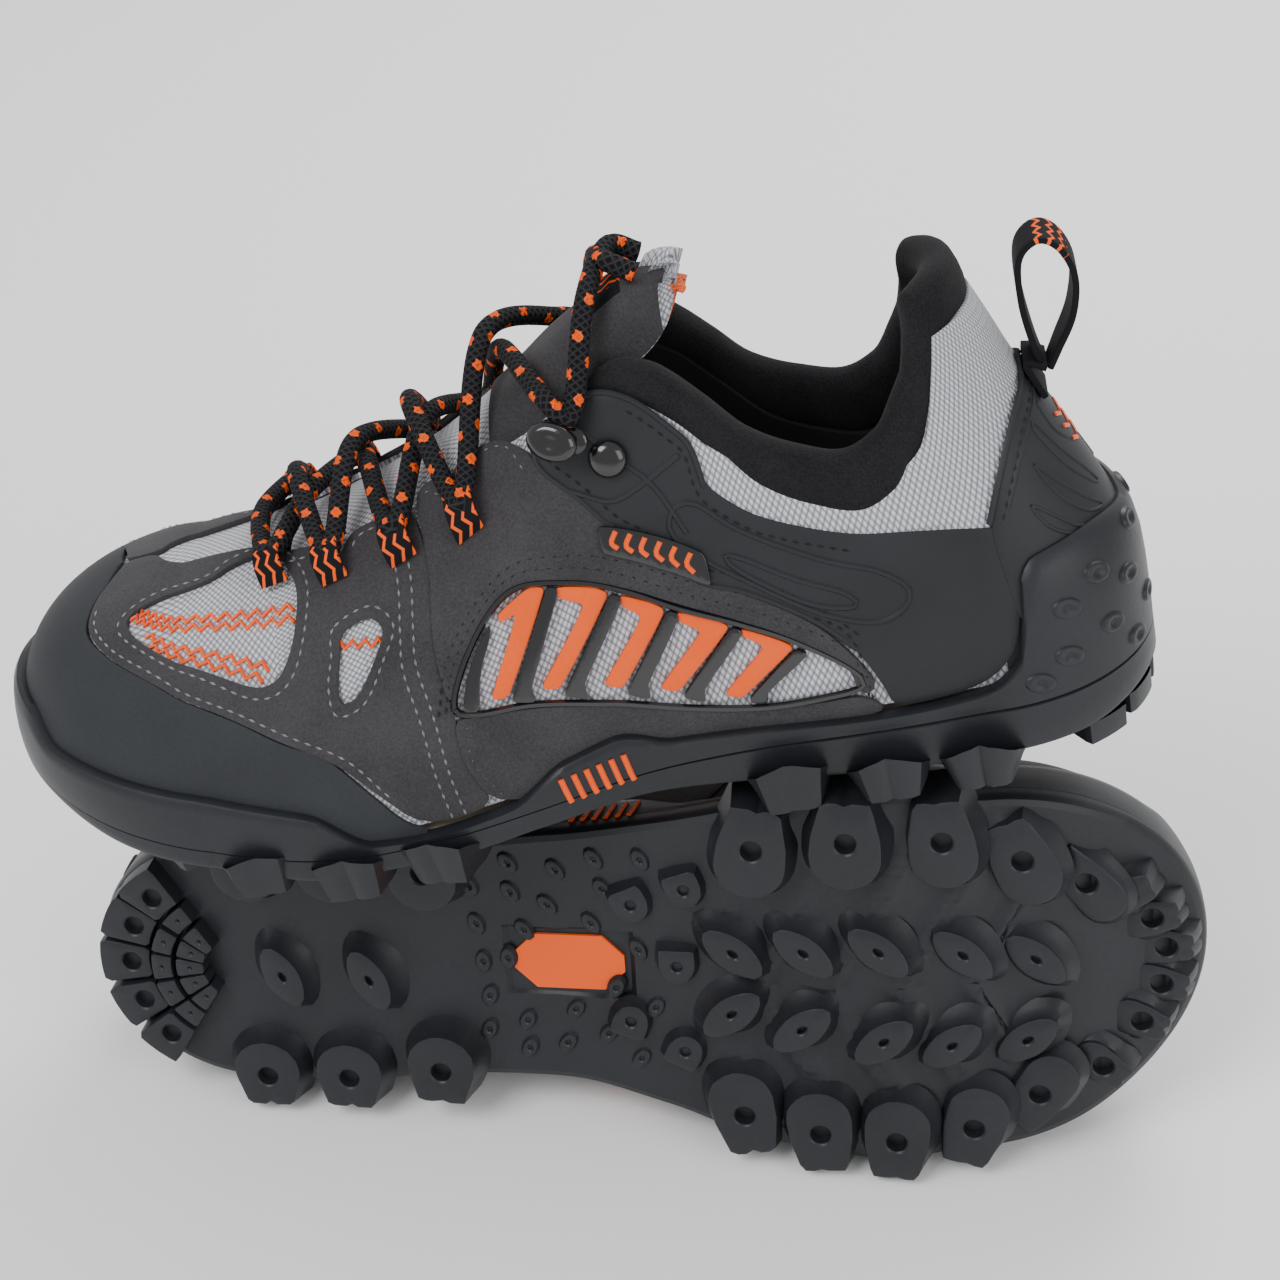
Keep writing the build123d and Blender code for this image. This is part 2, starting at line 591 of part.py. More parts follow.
def pull_loop():
    """Webbing folded in two and sewn on at the top of the back seam; it stands up as a loop."""
    points = [Vector(x, 0, z) for x, z in PULL_ROUTE]
    middle = FilletPolyline(*points, radius=PULL_CORNERS)
    section = Plane(middle @ 0, x_dir=(0, 1, 0), z_dir=middle % 0) * Rectangle(PULL_WIDTH, PULL_THICKNESS)
    return sweep(section, path=middle)


PIECES = {
    "outsole": outsole,
    "sole_badge": sole_badge,
    "midsole": midsole,
    "shank": lambda: shank_slab(0.0),
    "insole_board": insole_board,
    "insole": insole,
    "mesh_upper": textile_upper,
    "lining": lining,
    "collar_roll": collar_roll,
    "heel_stiffener": heel_stiffener,
    "heel_cover": heel_cover,
    "toe_puff": toe_puff,
    "toe_cap": toe_cap,
    "vamp_overlay": vamp_overlay,
    "eyestay": eyestay,
    "quarter_panel": quarter_panel,
    "lower_foxing": lower_foxing,
    "side_window": side_window,
    "window_ribs": window_ribs,
    "ankle_panel": ankle_panel,
    "collar_mesh": collar_mesh,
    "tongue": tongue,
    "tongue_lining": tongue_lining,
    "tongue_label": tongue_label,
    "flag_label": flag_label,
    "lace_loops": lace_loops,
    "lace_hooks": lace_hooks,
    "rivets": rivets,
    "lace": lace,
    "pull_loop": pull_loop,
}


def placed(solid, shoe):
    """Move one solid from the shoe frame to the part's frame."""
    if shoe == "right":
        turn = Rot(0, RIGHT_PITCH, 0) * Rot(RIGHT_ROLL, 0, 0)
        return Pos(*RIGHT_SHIFT) * turn * mirror(solid, about=Plane.XZ)
    turn = Rot(0, 0, LEFT_HEADING) * Rot(0, LEFT_PITCH, 0) * Rot(LEFT_ROLL, 0, 0)
    return Pos(*LEFT_SHIFT) * turn * solid


def main():
    os.makedirs("parts", exist_ok=True)
    for name, make in PIECES.items():
        made = make()
        solids = [solid for item in (made if isinstance(made, list) else [made]) for solid in item.solids()]
        for shoe in ("right", "left"):
            node = Compound([placed(solid, shoe) for solid in solids])
            node.label = f"{shoe}_{name}"
            export_step(node, f"parts/{shoe}_{name}.step")


main()
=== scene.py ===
import json
import math

import bpy
import numpy as np
from mathutils import Matrix, Vector

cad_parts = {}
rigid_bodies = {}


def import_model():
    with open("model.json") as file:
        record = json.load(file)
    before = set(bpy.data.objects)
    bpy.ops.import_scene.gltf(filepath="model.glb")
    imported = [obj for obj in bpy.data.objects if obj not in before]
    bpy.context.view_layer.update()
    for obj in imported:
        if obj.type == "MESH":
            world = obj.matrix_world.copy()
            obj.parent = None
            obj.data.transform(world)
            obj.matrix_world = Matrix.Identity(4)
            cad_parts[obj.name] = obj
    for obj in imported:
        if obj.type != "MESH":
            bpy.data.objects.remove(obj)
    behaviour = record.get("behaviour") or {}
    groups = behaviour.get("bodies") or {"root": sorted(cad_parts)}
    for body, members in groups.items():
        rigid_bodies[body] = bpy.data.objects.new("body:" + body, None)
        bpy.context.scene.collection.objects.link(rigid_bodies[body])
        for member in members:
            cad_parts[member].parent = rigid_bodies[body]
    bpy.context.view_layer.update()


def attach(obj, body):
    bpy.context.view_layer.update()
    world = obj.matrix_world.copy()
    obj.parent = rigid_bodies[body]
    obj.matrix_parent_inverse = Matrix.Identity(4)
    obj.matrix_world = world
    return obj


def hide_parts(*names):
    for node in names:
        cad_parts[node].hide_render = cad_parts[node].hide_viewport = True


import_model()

# ---------------------------------------------------------------- stage, light and camera
# The pair lies on a pale studio floor.  Three soft lamps stand round it, and the camera looks down
# at the upturned sole and the outer side of the standing shoe.
bpy.ops.object.select_all(action="DESELECT")

bpy.ops.mesh.primitive_plane_add(size=7.0, location=(0, 0, -0.0002))
floor = bpy.context.object
floor.name = "studio_floor"
floor_paint = bpy.data.materials.new("floor_paper")
floor_paint.use_nodes = True
floor_shader = floor_paint.node_tree.nodes["Principled BSDF"]
floor_shader.inputs["Base Color"].default_value = (0.93, 0.93, 0.93, 1)
floor_shader.inputs["Roughness"].default_value = 0.9
floor.data.materials.append(floor_paint)

world = bpy.data.worlds.new("studio")
world.use_nodes = True
world.node_tree.nodes["Background"].inputs["Color"].default_value = (1.0, 1.0, 1.0, 1)
world.node_tree.nodes["Background"].inputs["Strength"].default_value = 0.72
bpy.context.scene.world = world


def soft_lamp(name, place, aim, power, width):
    light = bpy.data.lights.new(name, "AREA")
    light.energy = power
    light.shape = "SQUARE"
    light.size = width
    lamp = bpy.data.objects.new(name, light)
    bpy.context.collection.objects.link(lamp)
    lamp.location = place
    lamp.rotation_euler = (Vector(aim) - Vector(place)).to_track_quat("-Z", "Y").to_euler()


soft_lamp("key_lamp", (-0.7, -0.9, 1.3), (0, 0, 0.12), 17, 0.8)
soft_lamp("fill_lamp", (1.1, -0.8, 0.7), (0, 0, 0.1), 7, 0.9)
soft_lamp("rim_lamp", (0.3, 1.0, 1.1), (0, 0, 0.15), 13, 0.7)

camera_data = bpy.data.cameras.new("camera")
camera_data.sensor_width = 36.0
camera_data.lens = 73.1
camera = bpy.data.objects.new("camera", camera_data)
bpy.context.collection.objects.link(camera)
look = Vector((-0.132, 0.800, -0.586)).normalized()
up = Vector((-0.079, 0.580, 0.811))
right = look.cross(up).normalized()
up = right.cross(look)
camera.matrix_world = Matrix((
    (right.x, up.x, -look.x, 0.0986),
    (right.y, up.y, -look.y, -0.5750),
    (right.z, up.z, -look.z, 0.5442),
    (0, 0, 0, 1),
))
bpy.context.scene.camera = camera

# ---------------------------------------------------------------- mesh upper
# The inner bootee is a coarse silver polyester mesh, cut as two quarters and a vamp, sewn edge to
# edge and pulled over a foot form, the last.  It shows through the windows of the overlays.
# The last is worked out in millimetres: X to the toe, Y to the outer side, Z up from the lugs.
HEEL_FAN_X, TOE_FAN_X = 40.0, 246.0
HEEL_REACH, TOE_REACH = 38.0, 55.0
HEEL_ARC, TOE_ARC = 53.4, 81.7
COLLAR_LEAN = 24.0
SIDE_LENGTH = TOE_FAN_X - HEEL_FAN_X
TOE_POINT = HEEL_ARC + SIDE_LENGTH + TOE_ARC


def smooth_curve(stations, values):
    """Monotone cubic curve through (station, value) pairs, held flat past both ends."""
    x = np.array(stations, dtype=float)
    y = np.array(values, dtype=float)
    width = np.diff(x)
    rise = np.diff(y) / width
    slope = np.zeros(len(x))
    for i in range(1, len(x) - 1):
        if rise[i - 1] * rise[i] > 0:
            before = 2 * width[i] + width[i - 1]
            after = width[i] + 2 * width[i - 1]
            slope[i] = (before + after) / (before / rise[i - 1] + after / rise[i])
    slope[0] = rise[0]
    slope[-1] = rise[-1]

    def curve(at):
        at = np.clip(np.asarray(at, dtype=float), x[0], x[-1])
        i = np.clip(np.searchsorted(x, at, side="right") - 1, 0, len(x) - 2)
        t = (at - x[i]) / width[i]
        return (
            y[i] * (1 + 2 * t) * (1 - t) ** 2
            + slope[i] * width[i] * t * (1 - t) ** 2
            + y[i + 1] * t * t * (3 - 2 * t)
            + slope[i + 1] * width[i] * t * t * (t - 1)
        )

    return curve


STATIONS = [40, 70, 100, 130, 160, 190, 220, 246]
LATERAL_HALF = smooth_curve(STATIONS, [34, 35.5, 35, 37, 43, 50, 53, 50])
MEDIAL_HALF = smooth_curve(STATIONS, [34, 33.5, 31, 32, 38, 47.5, 51.5, 50])
FEATHER_Z = smooth_curve([0, 60, 120, 170, 200, 235, 265, 303], [22, 21, 19, 14, 13, 17, 25, 38])
RIDGE_Z = smooth_curve(
    [40, 92, 112, 130, 145, 160, 180, 200, 220, 246],
    [150, 150, 145, 133, 121, 110.5, 98.5, 89.5, 83, 78.5],
)
SHOULDER = smooth_curve([38, 100, 130, 160, 200, 242], [0.42, 0.5, 0.62, 0.85, 0.85, 0.82])
CROWN = smooth_curve([38, 160, 200, 242], [1, 1, 0.95, 0.85])
NARROWING = smooth_curve([38, 90, 130, 170], [0.22, 0.2, 0.1, 0])


def last_core(middle, heel_turn, toe_turn, girth, side):
    half = np.where(side > 0, LATERAL_HALF(middle), MEDIAL_HALF(middle))
    base_x = middle - HEEL_REACH * np.cos(heel_turn) + TOE_REACH * np.sin(toe_turn)
    base_y = half * np.sin(heel_turn) * np.cos(toe_turn)
    low = FEATHER_Z(base_x)
    angle = girth * np.pi / 2
    radius = np.cos(angle) ** SHOULDER(middle)
    z = low + (RIDGE_Z(middle) - low) * np.sin(angle) ** CROWN(middle)
    rise = np.clip((z - 38) / 67, 0, 1)
    radius = radius * (1 - NARROWING(middle) * rise * rise * (3 - 2 * rise))
    x = middle + (base_x - middle) * radius
    x = x + COLLAR_LEAN * np.clip((z - 48) / 80, 0, 1.4) ** 1.3 * np.clip(1 - x / 130, 0, 1)
    return np.stack([x, base_y * radius * side, z], axis=-1)


def wall_point(around, girth):
    """Last at a distance round its bottom edge (+ outer, - inner side) and a girth from 0 to 1."""
    around = np.asarray(around, dtype=float)
    past_toe = around > TOE_POINT
    side = np.where((around < 0) | past_toe, -1.0, 1.0)
    distance = np.where(past_toe, 2 * TOE_POINT - around, np.abs(around))
    heel_turn = np.clip(distance / HEEL_ARC, 0, 1) * np.pi / 2
    toe_turn = np.clip((distance - HEEL_ARC - SIDE_LENGTH) / TOE_ARC, 0, 1) * np.pi / 2
    middle = np.clip(distance - HEEL_ARC, 0, SIDE_LENGTH) + HEEL_FAN_X
    return last_core(middle, heel_turn, toe_turn, np.clip(girth, 0, 0.9995), side)


def top_point(along, across):
    """Last over its ridge, at a station and a share across from -1 (inner) to 1 (outer edge)."""
    along = np.asarray(along, dtype=float)
    across = np.asarray(across, dtype=float)
    ahead = np.clip((along - TOE_FAN_X) / 40.0, 0, 1)
    forward = ahead * np.sqrt(1 - across**2 / 2)
    sideways = across * np.sqrt(1 - ahead**2 / 2)
    reach = np.clip(np.hypot(forward, sideways), 1e-6, 1)
    toe_turn = np.arctan2(forward, np.abs(sideways) + 1e-9)
    middle = np.clip(along, HEEL_FAN_X, TOE_FAN_X)
    side = np.where(sideways >= 0, 1.0, -1.0)
    return last_core(middle, np.pi / 2, toe_turn, 1 - reach ** (1 / 0.84), side)


def lifted(point, first, second, lift):
    """Points of the last moved out along its normal."""
    first = np.asarray(first, dtype=float)
    second = np.asarray(second, dtype=float)
    step_a, step_b = 0.05, 0.0005
    low = np.clip(second - step_b, 0.0005, None) if point is wall_point else second - step_b
    along = point(first + step_a, second) - point(first - step_a, second)
    upward = point(first, low + 2 * step_b) - point(first, low)
    normal = np.cross(along, upward)
    normal /= np.linalg.norm(normal, axis=-1, keepdims=True) + 1e-12
    grid = point(first, second)
    outward = grid - np.array([150.0, 0.0, 45.0])
    normal *= np.sign(np.sum(normal * outward, axis=-1, keepdims=True))
    if point is wall_point:
        grid[..., 2] += 100 * np.minimum(second, 0)
    return grid + normal * np.asarray(lift)[..., None]


# Top edge of the upper, as a girth at each distance round the last
TOPLINE = smooth_curve(
    [0, 9, 34, 45, 58, 66, 76, 88, 100, 108, 122, 139, 157, 166, 190, 209, 233],
    [0.62, 0.62, 0.60, 0.52, 0.42, 0.37, 0.35, 0.37, 0.41, 0.47, 0.58, 0.66, 0.68, 0.70, 0.74, 0.78, 0.86],
)
MM = 0.001                 # one millimetre in the metres of the finished pieces
# The right shoe is the mirror of the pattern, laid on its inner side; the left stands tilted on it.
RIGHT_PLACE = (
    Matrix.Translation(Vector((-140.7, -66.8, 43.0)) * MM)
    @ Matrix.Rotation(math.radians(-4.37), 4, "Y")
    @ Matrix.Rotation(math.radians(-101.25), 4, "X")
    @ Matrix.Scale(-1, 4, (0, 1, 0))
)
LEFT_PLACE = (
    Matrix.Translation(Vector((142.5, -4.0, 127.6)) * MM)
    @ Matrix.Rotation(math.radians(-174.0), 4, "Z")
    @ Matrix.Rotation(math.radians(10.9), 4, "Y")
    @ Matrix.Rotation(math.radians(5.0), 4, "X")
)


def select_only(piece):
    bpy.ops.object.select_all(action="DESELECT")
    piece.select_set(True)
    bpy.context.view_layer.objects.active = piece


def use_modifier(piece, kind, **settings):
    """Add one modifier and apply it."""
    select_only(piece)
    modifier = piece.modifiers.new(kind.lower(), kind)
    for name, value in settings.items():
        setattr(modifier, name, value)
    bpy.ops.object.modifier_apply(modifier=modifier.name)


def finish_piece(piece, body, nodes, material, smooth=40):
    """Copy a piece to both shoes, in place, with its material, body and the nodes it stands for."""
    select_only(piece)
    bpy.ops.object.shade_smooth_by_angle(angle=math.radians(smooth))
    co = np.zeros(len(piece.data.vertices) * 3)
    piece.data.vertices.foreach_get("co", co)
    cut = piece.data.attributes.new("cut", "FLOAT_VECTOR", "POINT")
    cut.data.foreach_set("vector", co)
    piece.data.materials.append(material)
    for side in ("right", "left"):
        mesh = piece.data.copy()
        copy = bpy.data.objects.new(f"{side}_{piece.name}", mesh)
        bpy.context.collection.objects.link(copy)
        mesh.transform(RIGHT_PLACE if side == "right" else LEFT_PLACE)
        if side == "right":
            mesh.flip_normals()
        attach(copy, f"{side}_{body}")
        if nodes:
            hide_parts(*[f"{side}_{node}" for node in nodes])
    bpy.data.objects.remove(piece)


def new_group(name, inputs, outputs):
    group = bpy.data.node_groups.new(name, "ShaderNodeTree")
    for label, kind, value in inputs:
        item = group.interface.new_socket(name=label, in_out="INPUT", socket_type=kind)
        item.default_value = value
    for label, kind in outputs:
        group.interface.new_socket(name=label, in_out="OUTPUT", socket_type=kind)
    return group, group.nodes.new("NodeGroupInput"), group.nodes.new("NodeGroupOutput")


def math_node(tree, operation, first, second=None, third=None):
    node = tree.nodes.new("ShaderNodeMath")
    node.operation = operation
    for index, value in enumerate((first, second, third)):
        if value is None:
            continue
        if isinstance(value, (int, float)):
            node.inputs[index].default_value = value
        else:
            tree.links.new(value, node.inputs[index])
    return node.outputs[0]


def attribute_node(tree, name):
    node = tree.nodes.new("ShaderNodeAttribute")
    node.attribute_name = name
    return node.outputs["Vector"]


def noise_node(tree, vector, scale, detail=3.0):
    node = tree.nodes.new("ShaderNodeTexNoise")
    node.inputs["Scale"].default_value = scale
    node.inputs["Detail"].default_value = detail
    tree.links.new(vector, node.inputs["Vector"])
    return node.outputs["Fac"]


def mix_colors(tree, share, first, second):
    node = tree.nodes.new("ShaderNodeMix")
    node.data_type = "RGBA"
    for index, value in ((0, share), (6, first), (7, second)):
        if isinstance(value, (int, float)):
            node.inputs[index].default_value = value
        elif isinstance(value, tuple):
            node.inputs[index].default_value = (*value, 1)
        else:
            tree.links.new(value, node.inputs[index])
    return node.outputs[2]


def weave_group():
    """Coarse basket weave: raised yarn crossings and dark gaps, along the piece's pattern directions."""
    group, inside, outside = new_group(
        "basket_weave",
        [("Pitch", "NodeSocketFloat", 1.6)],
        [("Yarn", "NodeSocketFloat"), ("Height", "NodeSocketFloat")],
    )
    vector = attribute_node(group, "weave")
    split = group.nodes.new("ShaderNodeSeparateXYZ")
    group.links.new(vector, split.inputs[0])
    turn = math_node(group, "DIVIDE", math.pi, inside.outputs["Pitch"])
    along = math_node(group, "MULTIPLY", math_node(group, "ADD", split.outputs["X"], split.outputs["Y"]),
                      turn)
    across = math_node(group, "MULTIPLY", math_node(
        group, "SUBTRACT", split.outputs["X"], split.outputs["Y"]), turn)
    product = math_node(group, "MULTIPLY", math_node(group, "SINE", along), math_node(group, "SINE", across))
    height = math_node(group, "MULTIPLY_ADD", product, 0.5, 0.5)
    fuzz = noise_node(group, attribute_node(group, "cut"), 2200.0, 2.0)
    rough = math_node(group, "MULTIPLY_ADD", fuzz, 0.35, height)
    group.links.new(rough, outside.inputs["Height"])
    group.links.new(math_node(group, "POWER", math_node(group, "ABSOLUTE", product), 0.6),
                    outside.inputs["Yarn"])
    return group


WEAVE = weave_group()


def woven(name, gap, yarn, pitch, roughness, bump, sheen=0.2):
    """Material of a coarse woven mesh."""
    material = bpy.data.materials.new(name)
    material.use_nodes = True
    tree = material.node_tree
    shader = tree.nodes["Principled BSDF"]
    group = tree.nodes.new("ShaderNodeGroup")
    group.node_tree = WEAVE
    group.inputs["Pitch"].default_value = pitch
    shade = group.outputs["Yarn"]
    tree.links.new(mix_colors(tree, shade, gap, yarn), shader.inputs["Base Color"])
    relief = tree.nodes.new("ShaderNodeBump")
    relief.inputs["Strength"].default_value = 1.0
    relief.inputs["Distance"].default_value = bump * MM
    tree.links.new(group.outputs["Height"], relief.inputs["Height"])
    tree.links.new(relief.outputs["Normal"], shader.inputs["Normal"])
    shader.inputs["Roughness"].default_value = roughness
    shader.inputs["Sheen Weight"].default_value = sheen
    shader.inputs["Specular IOR Level"].default_value = 0.25
    return material


silver_mesh = woven("silver_mesh", (0.10, 0.10, 0.115), (0.66, 0.67, 0.72), 1.75, 0.55, 0.55)


def turn_outwards(piece):
    """Open sheets face away from the middle of the shoe."""
    mesh = piece.data
    middle = Vector((150, 0, 45)) * MM
    score = sum(face.normal.dot(face.center - middle) * face.area for face in mesh.polygons)
    if score < 0:
        mesh.flip_normals()


GIRTH_HEIGHT = 110.0       # height of the wall from girth 0 to girth 1
RIDGE_WIDTH = 70.0         # half the way over the ridge, from its middle to the bottom edge


def flat_grid(name, columns, rows):
    """Flat sheet of cloth, and how far along and across it each point lies, from 0 to 1."""
    bpy.ops.object.select_all(action="DESELECT")
    bpy.ops.mesh.primitive_grid_add(x_subdivisions=columns, y_subdivisions=rows, size=1.0)
    piece = bpy.context.object
    piece.name = name
    co = np.zeros(len(piece.data.vertices) * 3)
    piece.data.vertices.foreach_get("co", co)
    co = co.reshape(-1, 3)
    return piece, co[:, 0] + 0.5, co[:, 1] + 0.5


def pull_over(piece, spots, along, up):
    """Move the sheet's points on to the last, and keep its pattern directions."""
    mesh = piece.data
    mesh.vertices.foreach_set("co", (spots * MM).ravel())
    layer = mesh.attributes.new("weave", "FLOAT_VECTOR", "POINT")
    layer.data.foreach_set("vector", np.stack([along, up, 0 * along], axis=-1).ravel())
    mesh.update()
    turn_outwards(piece)


def lasted_sheet(name, start, stop, low, high, lift, cell=2.0, rows=14):
    """Strip pulled over the last between two pattern lines."""
    piece, along, share = flat_grid(name, max(4, int(abs(stop - start) / cell)), rows)
    around = start + along * (stop - start)
    bottom = low(around) if callable(low) else np.full_like(around, low)
    girth = bottom + (high(around) - bottom) * share
    pull_over(piece, lifted(wall_point, around, girth, lift), around, girth * GIRTH_HEIGHT)
    return piece


def top_sheet(name, start, stop, reach, lift, cell=2.5, rows=22):
    """Strip pulled over the ridge of the last."""
    piece, share, across = flat_grid(name, max(4, int(abs(stop - start) / cell)), rows)
    along = start + share * (stop - start)
    across = (across - 0.5) * 2
    reach = reach(along) if callable(reach) else reach
    lift = lift(along, across) if callable(lift) else lift
    pull_over(piece, lifted(top_point, along, across * reach, lift), along, across * reach * RIDGE_WIDTH)
    return piece


def joined(name, pieces):
    bpy.ops.object.select_all(action="DESELECT")
    for piece in pieces:
        piece.select_set(True)
    bpy.context.view_layer.objects.active = pieces[0]
    bpy.ops.object.join()
    pieces[0].name = name
    return pieces[0]


MESH_WALL = 1.5
quarter_out = lasted_sheet("quarter_out", 0.0, 232, 0.018, TOPLINE, 0.0, rows=30)
quarter_in = lasted_sheet("quarter_in", -232, 0.0, 0.018, lambda d: TOPLINE(-d), 0.0, rows=30)
vamp_mesh = top_sheet("vamp_mesh", 218.6, 286, 0.975, 0.0, rows=40)
mesh_upper = joined("mesh_upper", [quarter_out, quarter_in, vamp_mesh])
use_modifier(mesh_upper, "SOLIDIFY", thickness=MESH_WALL * MM, offset=-1)
finish_piece(mesh_upper, "shoe", ["mesh_upper", "side_window"], silver_mesh)

# ---------------------------------------------------------------- suede overlays
# Vamp, eyestay and lower foxing are cut from 1.5 mm charcoal suede to a pattern with windows, then
# glued and sewn over the mesh.  Each is marked out flat, trimmed to its outline and lasted.


def grain_group():
    """Blotches, fine grain and a height, from two scales of noise on the piece's own coordinates."""
    group, inside, outside = new_group(
        "grain",
        [("Fine", "NodeSocketFloat", 900.0), ("Broad", "NodeSocketFloat", 40.0)],
        [("Blotch", "NodeSocketFloat"), ("Grain", "NodeSocketFloat"), ("Height", "NodeSocketFloat")],
    )
    vector = attribute_node(group, "cut")
    fine = group.nodes.new("ShaderNodeTexNoise")
    fine.inputs["Detail"].default_value = 4.0
    broad = group.nodes.new("ShaderNodeTexNoise")
    broad.inputs["Detail"].default_value = 3.0
    group.links.new(vector, fine.inputs["Vector"])
    group.links.new(vector, broad.inputs["Vector"])
    group.links.new(inside.outputs["Fine"], fine.inputs["Scale"])
    group.links.new(inside.outputs["Broad"], broad.inputs["Scale"])
    group.links.new(broad.outputs["Fac"], outside.inputs["Blotch"])
    group.links.new(fine.outputs["Fac"], outside.inputs["Grain"])
    group.links.new(math_node(group, "ADD", fine.outputs["Fac"], math_node(
        group, "MULTIPLY", broad.outputs["Fac"], 0.5)), outside.inputs["Height"])
    return group


GRAIN = grain_group()


def grained(name, dark, light, fine, broad, roughness, bump, sheen=0.0, coat=0.0, spread=0.12, speckle=0.5,
            shine=0.25):
    """Material whose colour, roughness and surface vary with the grain group."""
    material = bpy.data.materials.new(name)
    material.use_nodes = True
    tree = material.node_tree
    shader = tree.nodes["Principled BSDF"]
    group = tree.nodes.new("ShaderNodeGroup")
    group.node_tree = GRAIN
    group.inputs["Fine"].default_value = fine
    group.inputs["Broad"].default_value = broad
    blend = math_node(tree, "MULTIPLY_ADD", math_node(
        tree, "SUBTRACT", group.outputs["Grain"], 0.5), speckle * 2.2, group.outputs["Blotch"])
    blend.node.use_clamp = True
    tree.links.new(mix_colors(tree, blend, dark, light), shader.inputs["Base Color"])
    tree.links.new(math_node(tree, "MULTIPLY_ADD", math_node(
        tree, "SUBTRACT", group.outputs["Blotch"], 0.5), spread * 2, roughness), shader.inputs["Roughness"])
    relief = tree.nodes.new("ShaderNodeBump")
    relief.inputs["Strength"].default_value = 1.0
    relief.inputs["Distance"].default_value = bump * MM
    tree.links.new(group.outputs["Height"], relief.inputs["Height"])
    tree.links.new(relief.outputs["Normal"], shader.inputs["Normal"])
    shader.inputs["Sheen Weight"].default_value = sheen
    shader.inputs["Sheen Roughness"].default_value = 0.5
    shader.inputs["Coat Weight"].default_value = coat
    shader.inputs["Specular IOR Level"].default_value = shine
    return material


suede = grained("charcoal_suede", (0.022, 0.021, 0.023), (0.066, 0.063, 0.067), 1500, 45, 0.92, 0.16,
                sheen=0.08, shine=0.1)


def mesh_piece(name, points, faces, weave=None):
    """Object in the shoe frame from points in millimetres, with its pattern directions kept."""
    mesh = bpy.data.meshes.new(name)
    points = np.asarray(points, dtype=float).reshape(-1, 3) * MM
    mesh.from_pydata(points.tolist(), [], [tuple(int(i) for i in face) for face in faces])
    if weave is None:
        weave = points[:, :2] / MM
    layer = mesh.attributes.new("weave", "FLOAT_VECTOR", "POINT")
    flat = np.zeros((len(points), 3))
    flat[:, :2] = np.asarray(weave, dtype=float).reshape(-1, 2)
    layer.data.foreach_set("vector", flat.ravel())
    piece = bpy.data.objects.new(name, mesh)
    bpy.context.collection.objects.link(piece)
    return piece


def grid_faces(rows, columns, close_rows=False, close_columns=False):
    """Quads of a grid of points, row after row."""
    faces = []
    for i in range(rows if close_rows else rows - 1):
        for j in range(columns if close_columns else columns - 1):
            a, b = i * columns + j, i * columns + (j + 1) % columns
            c, d = ((i + 1) % rows) * columns + (j + 1) % columns, ((i + 1) % rows) * columns + j
            faces.append((a, d, c, b))
    return faces


def rounded_loop(points, rounds=3):
    """Closed outline with its corners cut smooth."""
    loop = np.array(points, dtype=float)
    for _ in range(rounds):
        ahead = np.roll(loop, -1, axis=0)
        loop = np.stack([0.78 * loop + 0.22 * ahead, 0.22 * loop + 0.78 * ahead], axis=1).reshape(-1, 2)
    return loop


def inside_loop(points, loop):
    x, y = points[:, 0], points[:, 1]
    result = np.zeros(len(points), dtype=bool)
    for (x0, y0), (x1, y1) in zip(loop, np.roll(loop, -1, axis=0)):
        if y0 == y1:
            continue
        crosses = (y0 > y) != (y1 > y)
        result ^= crosses & (x < (x1 - x0) * (y - y0) / (y1 - y0) + x0)
    return result


def nearest_on_loop(points, loops):
    """Nearest points on any of the outlines."""
    best = np.full(len(points), 1e9)
    found = points.copy()
    for loop in loops:
        for start, end in zip(loop, np.roll(loop, -1, axis=0)):
            run = end - start
            share = np.clip(((points - start) @ run) / (run @ run + 1e-12), 0, 1)
            spot = start + share[:, None] * run
            gap = np.sum((points - spot) ** 2, axis=1)
            closer = gap < best
            best[closer] = gap[closer]
            found[closer] = spot[closer]
    return found


def cut_sheet(name, outline, windows=(), lift=0.12, thickness=1.45, cell=1.5, rounds=3, soften=0.35):
    """Panel with a freely shaped outline and windows; points are (distance round, girth x 100)."""
    loops = [rounded_loop(outline, rounds)] + [rounded_loop(window, 3) for window in windows]
    low, high = loops[0].min(axis=0), loops[0].max(axis=0)
    columns = int((high[0] - low[0]) / cell) + 1
    rows = int((high[1] - low[1]) * GIRTH_HEIGHT / 100 / cell) + 1
    u = np.linspace(low[0], high[0], columns)
    v = np.linspace(low[1], high[1], rows)
    spots = np.stack(np.meshgrid(u, v, indexing="ij"), axis=-1).reshape(-1, 2)
    faces = np.array(grid_faces(columns, rows))
    centre = spots[faces].mean(axis=1)
    keep = inside_loop(centre, loops[0])
    for window in loops[1:]:
        keep &= ~inside_loop(centre, window)
    faces = faces[keep]
    edges = {}
    for face in faces:
        for a, b in zip(face, np.roll(face, -1)):
            key = (min(a, b), max(a, b))
            edges[key] = edges.get(key, 0) + 1
    rim = sorted({int(v) for key, count in edges.items() if count == 1 for v in key})
    spots[rim] = nearest_on_loop(spots[rim], loops)
    used = np.unique(faces)
    remap = -np.ones(len(spots), dtype=int)
    remap[used] = np.arange(len(used))
    spots = spots[used]
    points = lifted(wall_point, spots[:, 0], spots[:, 1] / 100, lift)
    weave = np.stack([spots[:, 0], spots[:, 1] * GIRTH_HEIGHT / 100], axis=-1)
    piece = mesh_piece(name, points, remap[faces], weave)
    turn_outwards(piece)
    use_modifier(piece, "SOLIDIFY", thickness=thickness * MM, offset=1)
    use_modifier(piece, "BEVEL", width=soften * MM, segments=2, limit_method="ANGLE",
                 angle_limit=math.radians(50))
    return piece


def both_sides_of(points):
    """The same pattern points on the inner side of the shoe."""
    return [(-distance, girth) for distance, girth in points]


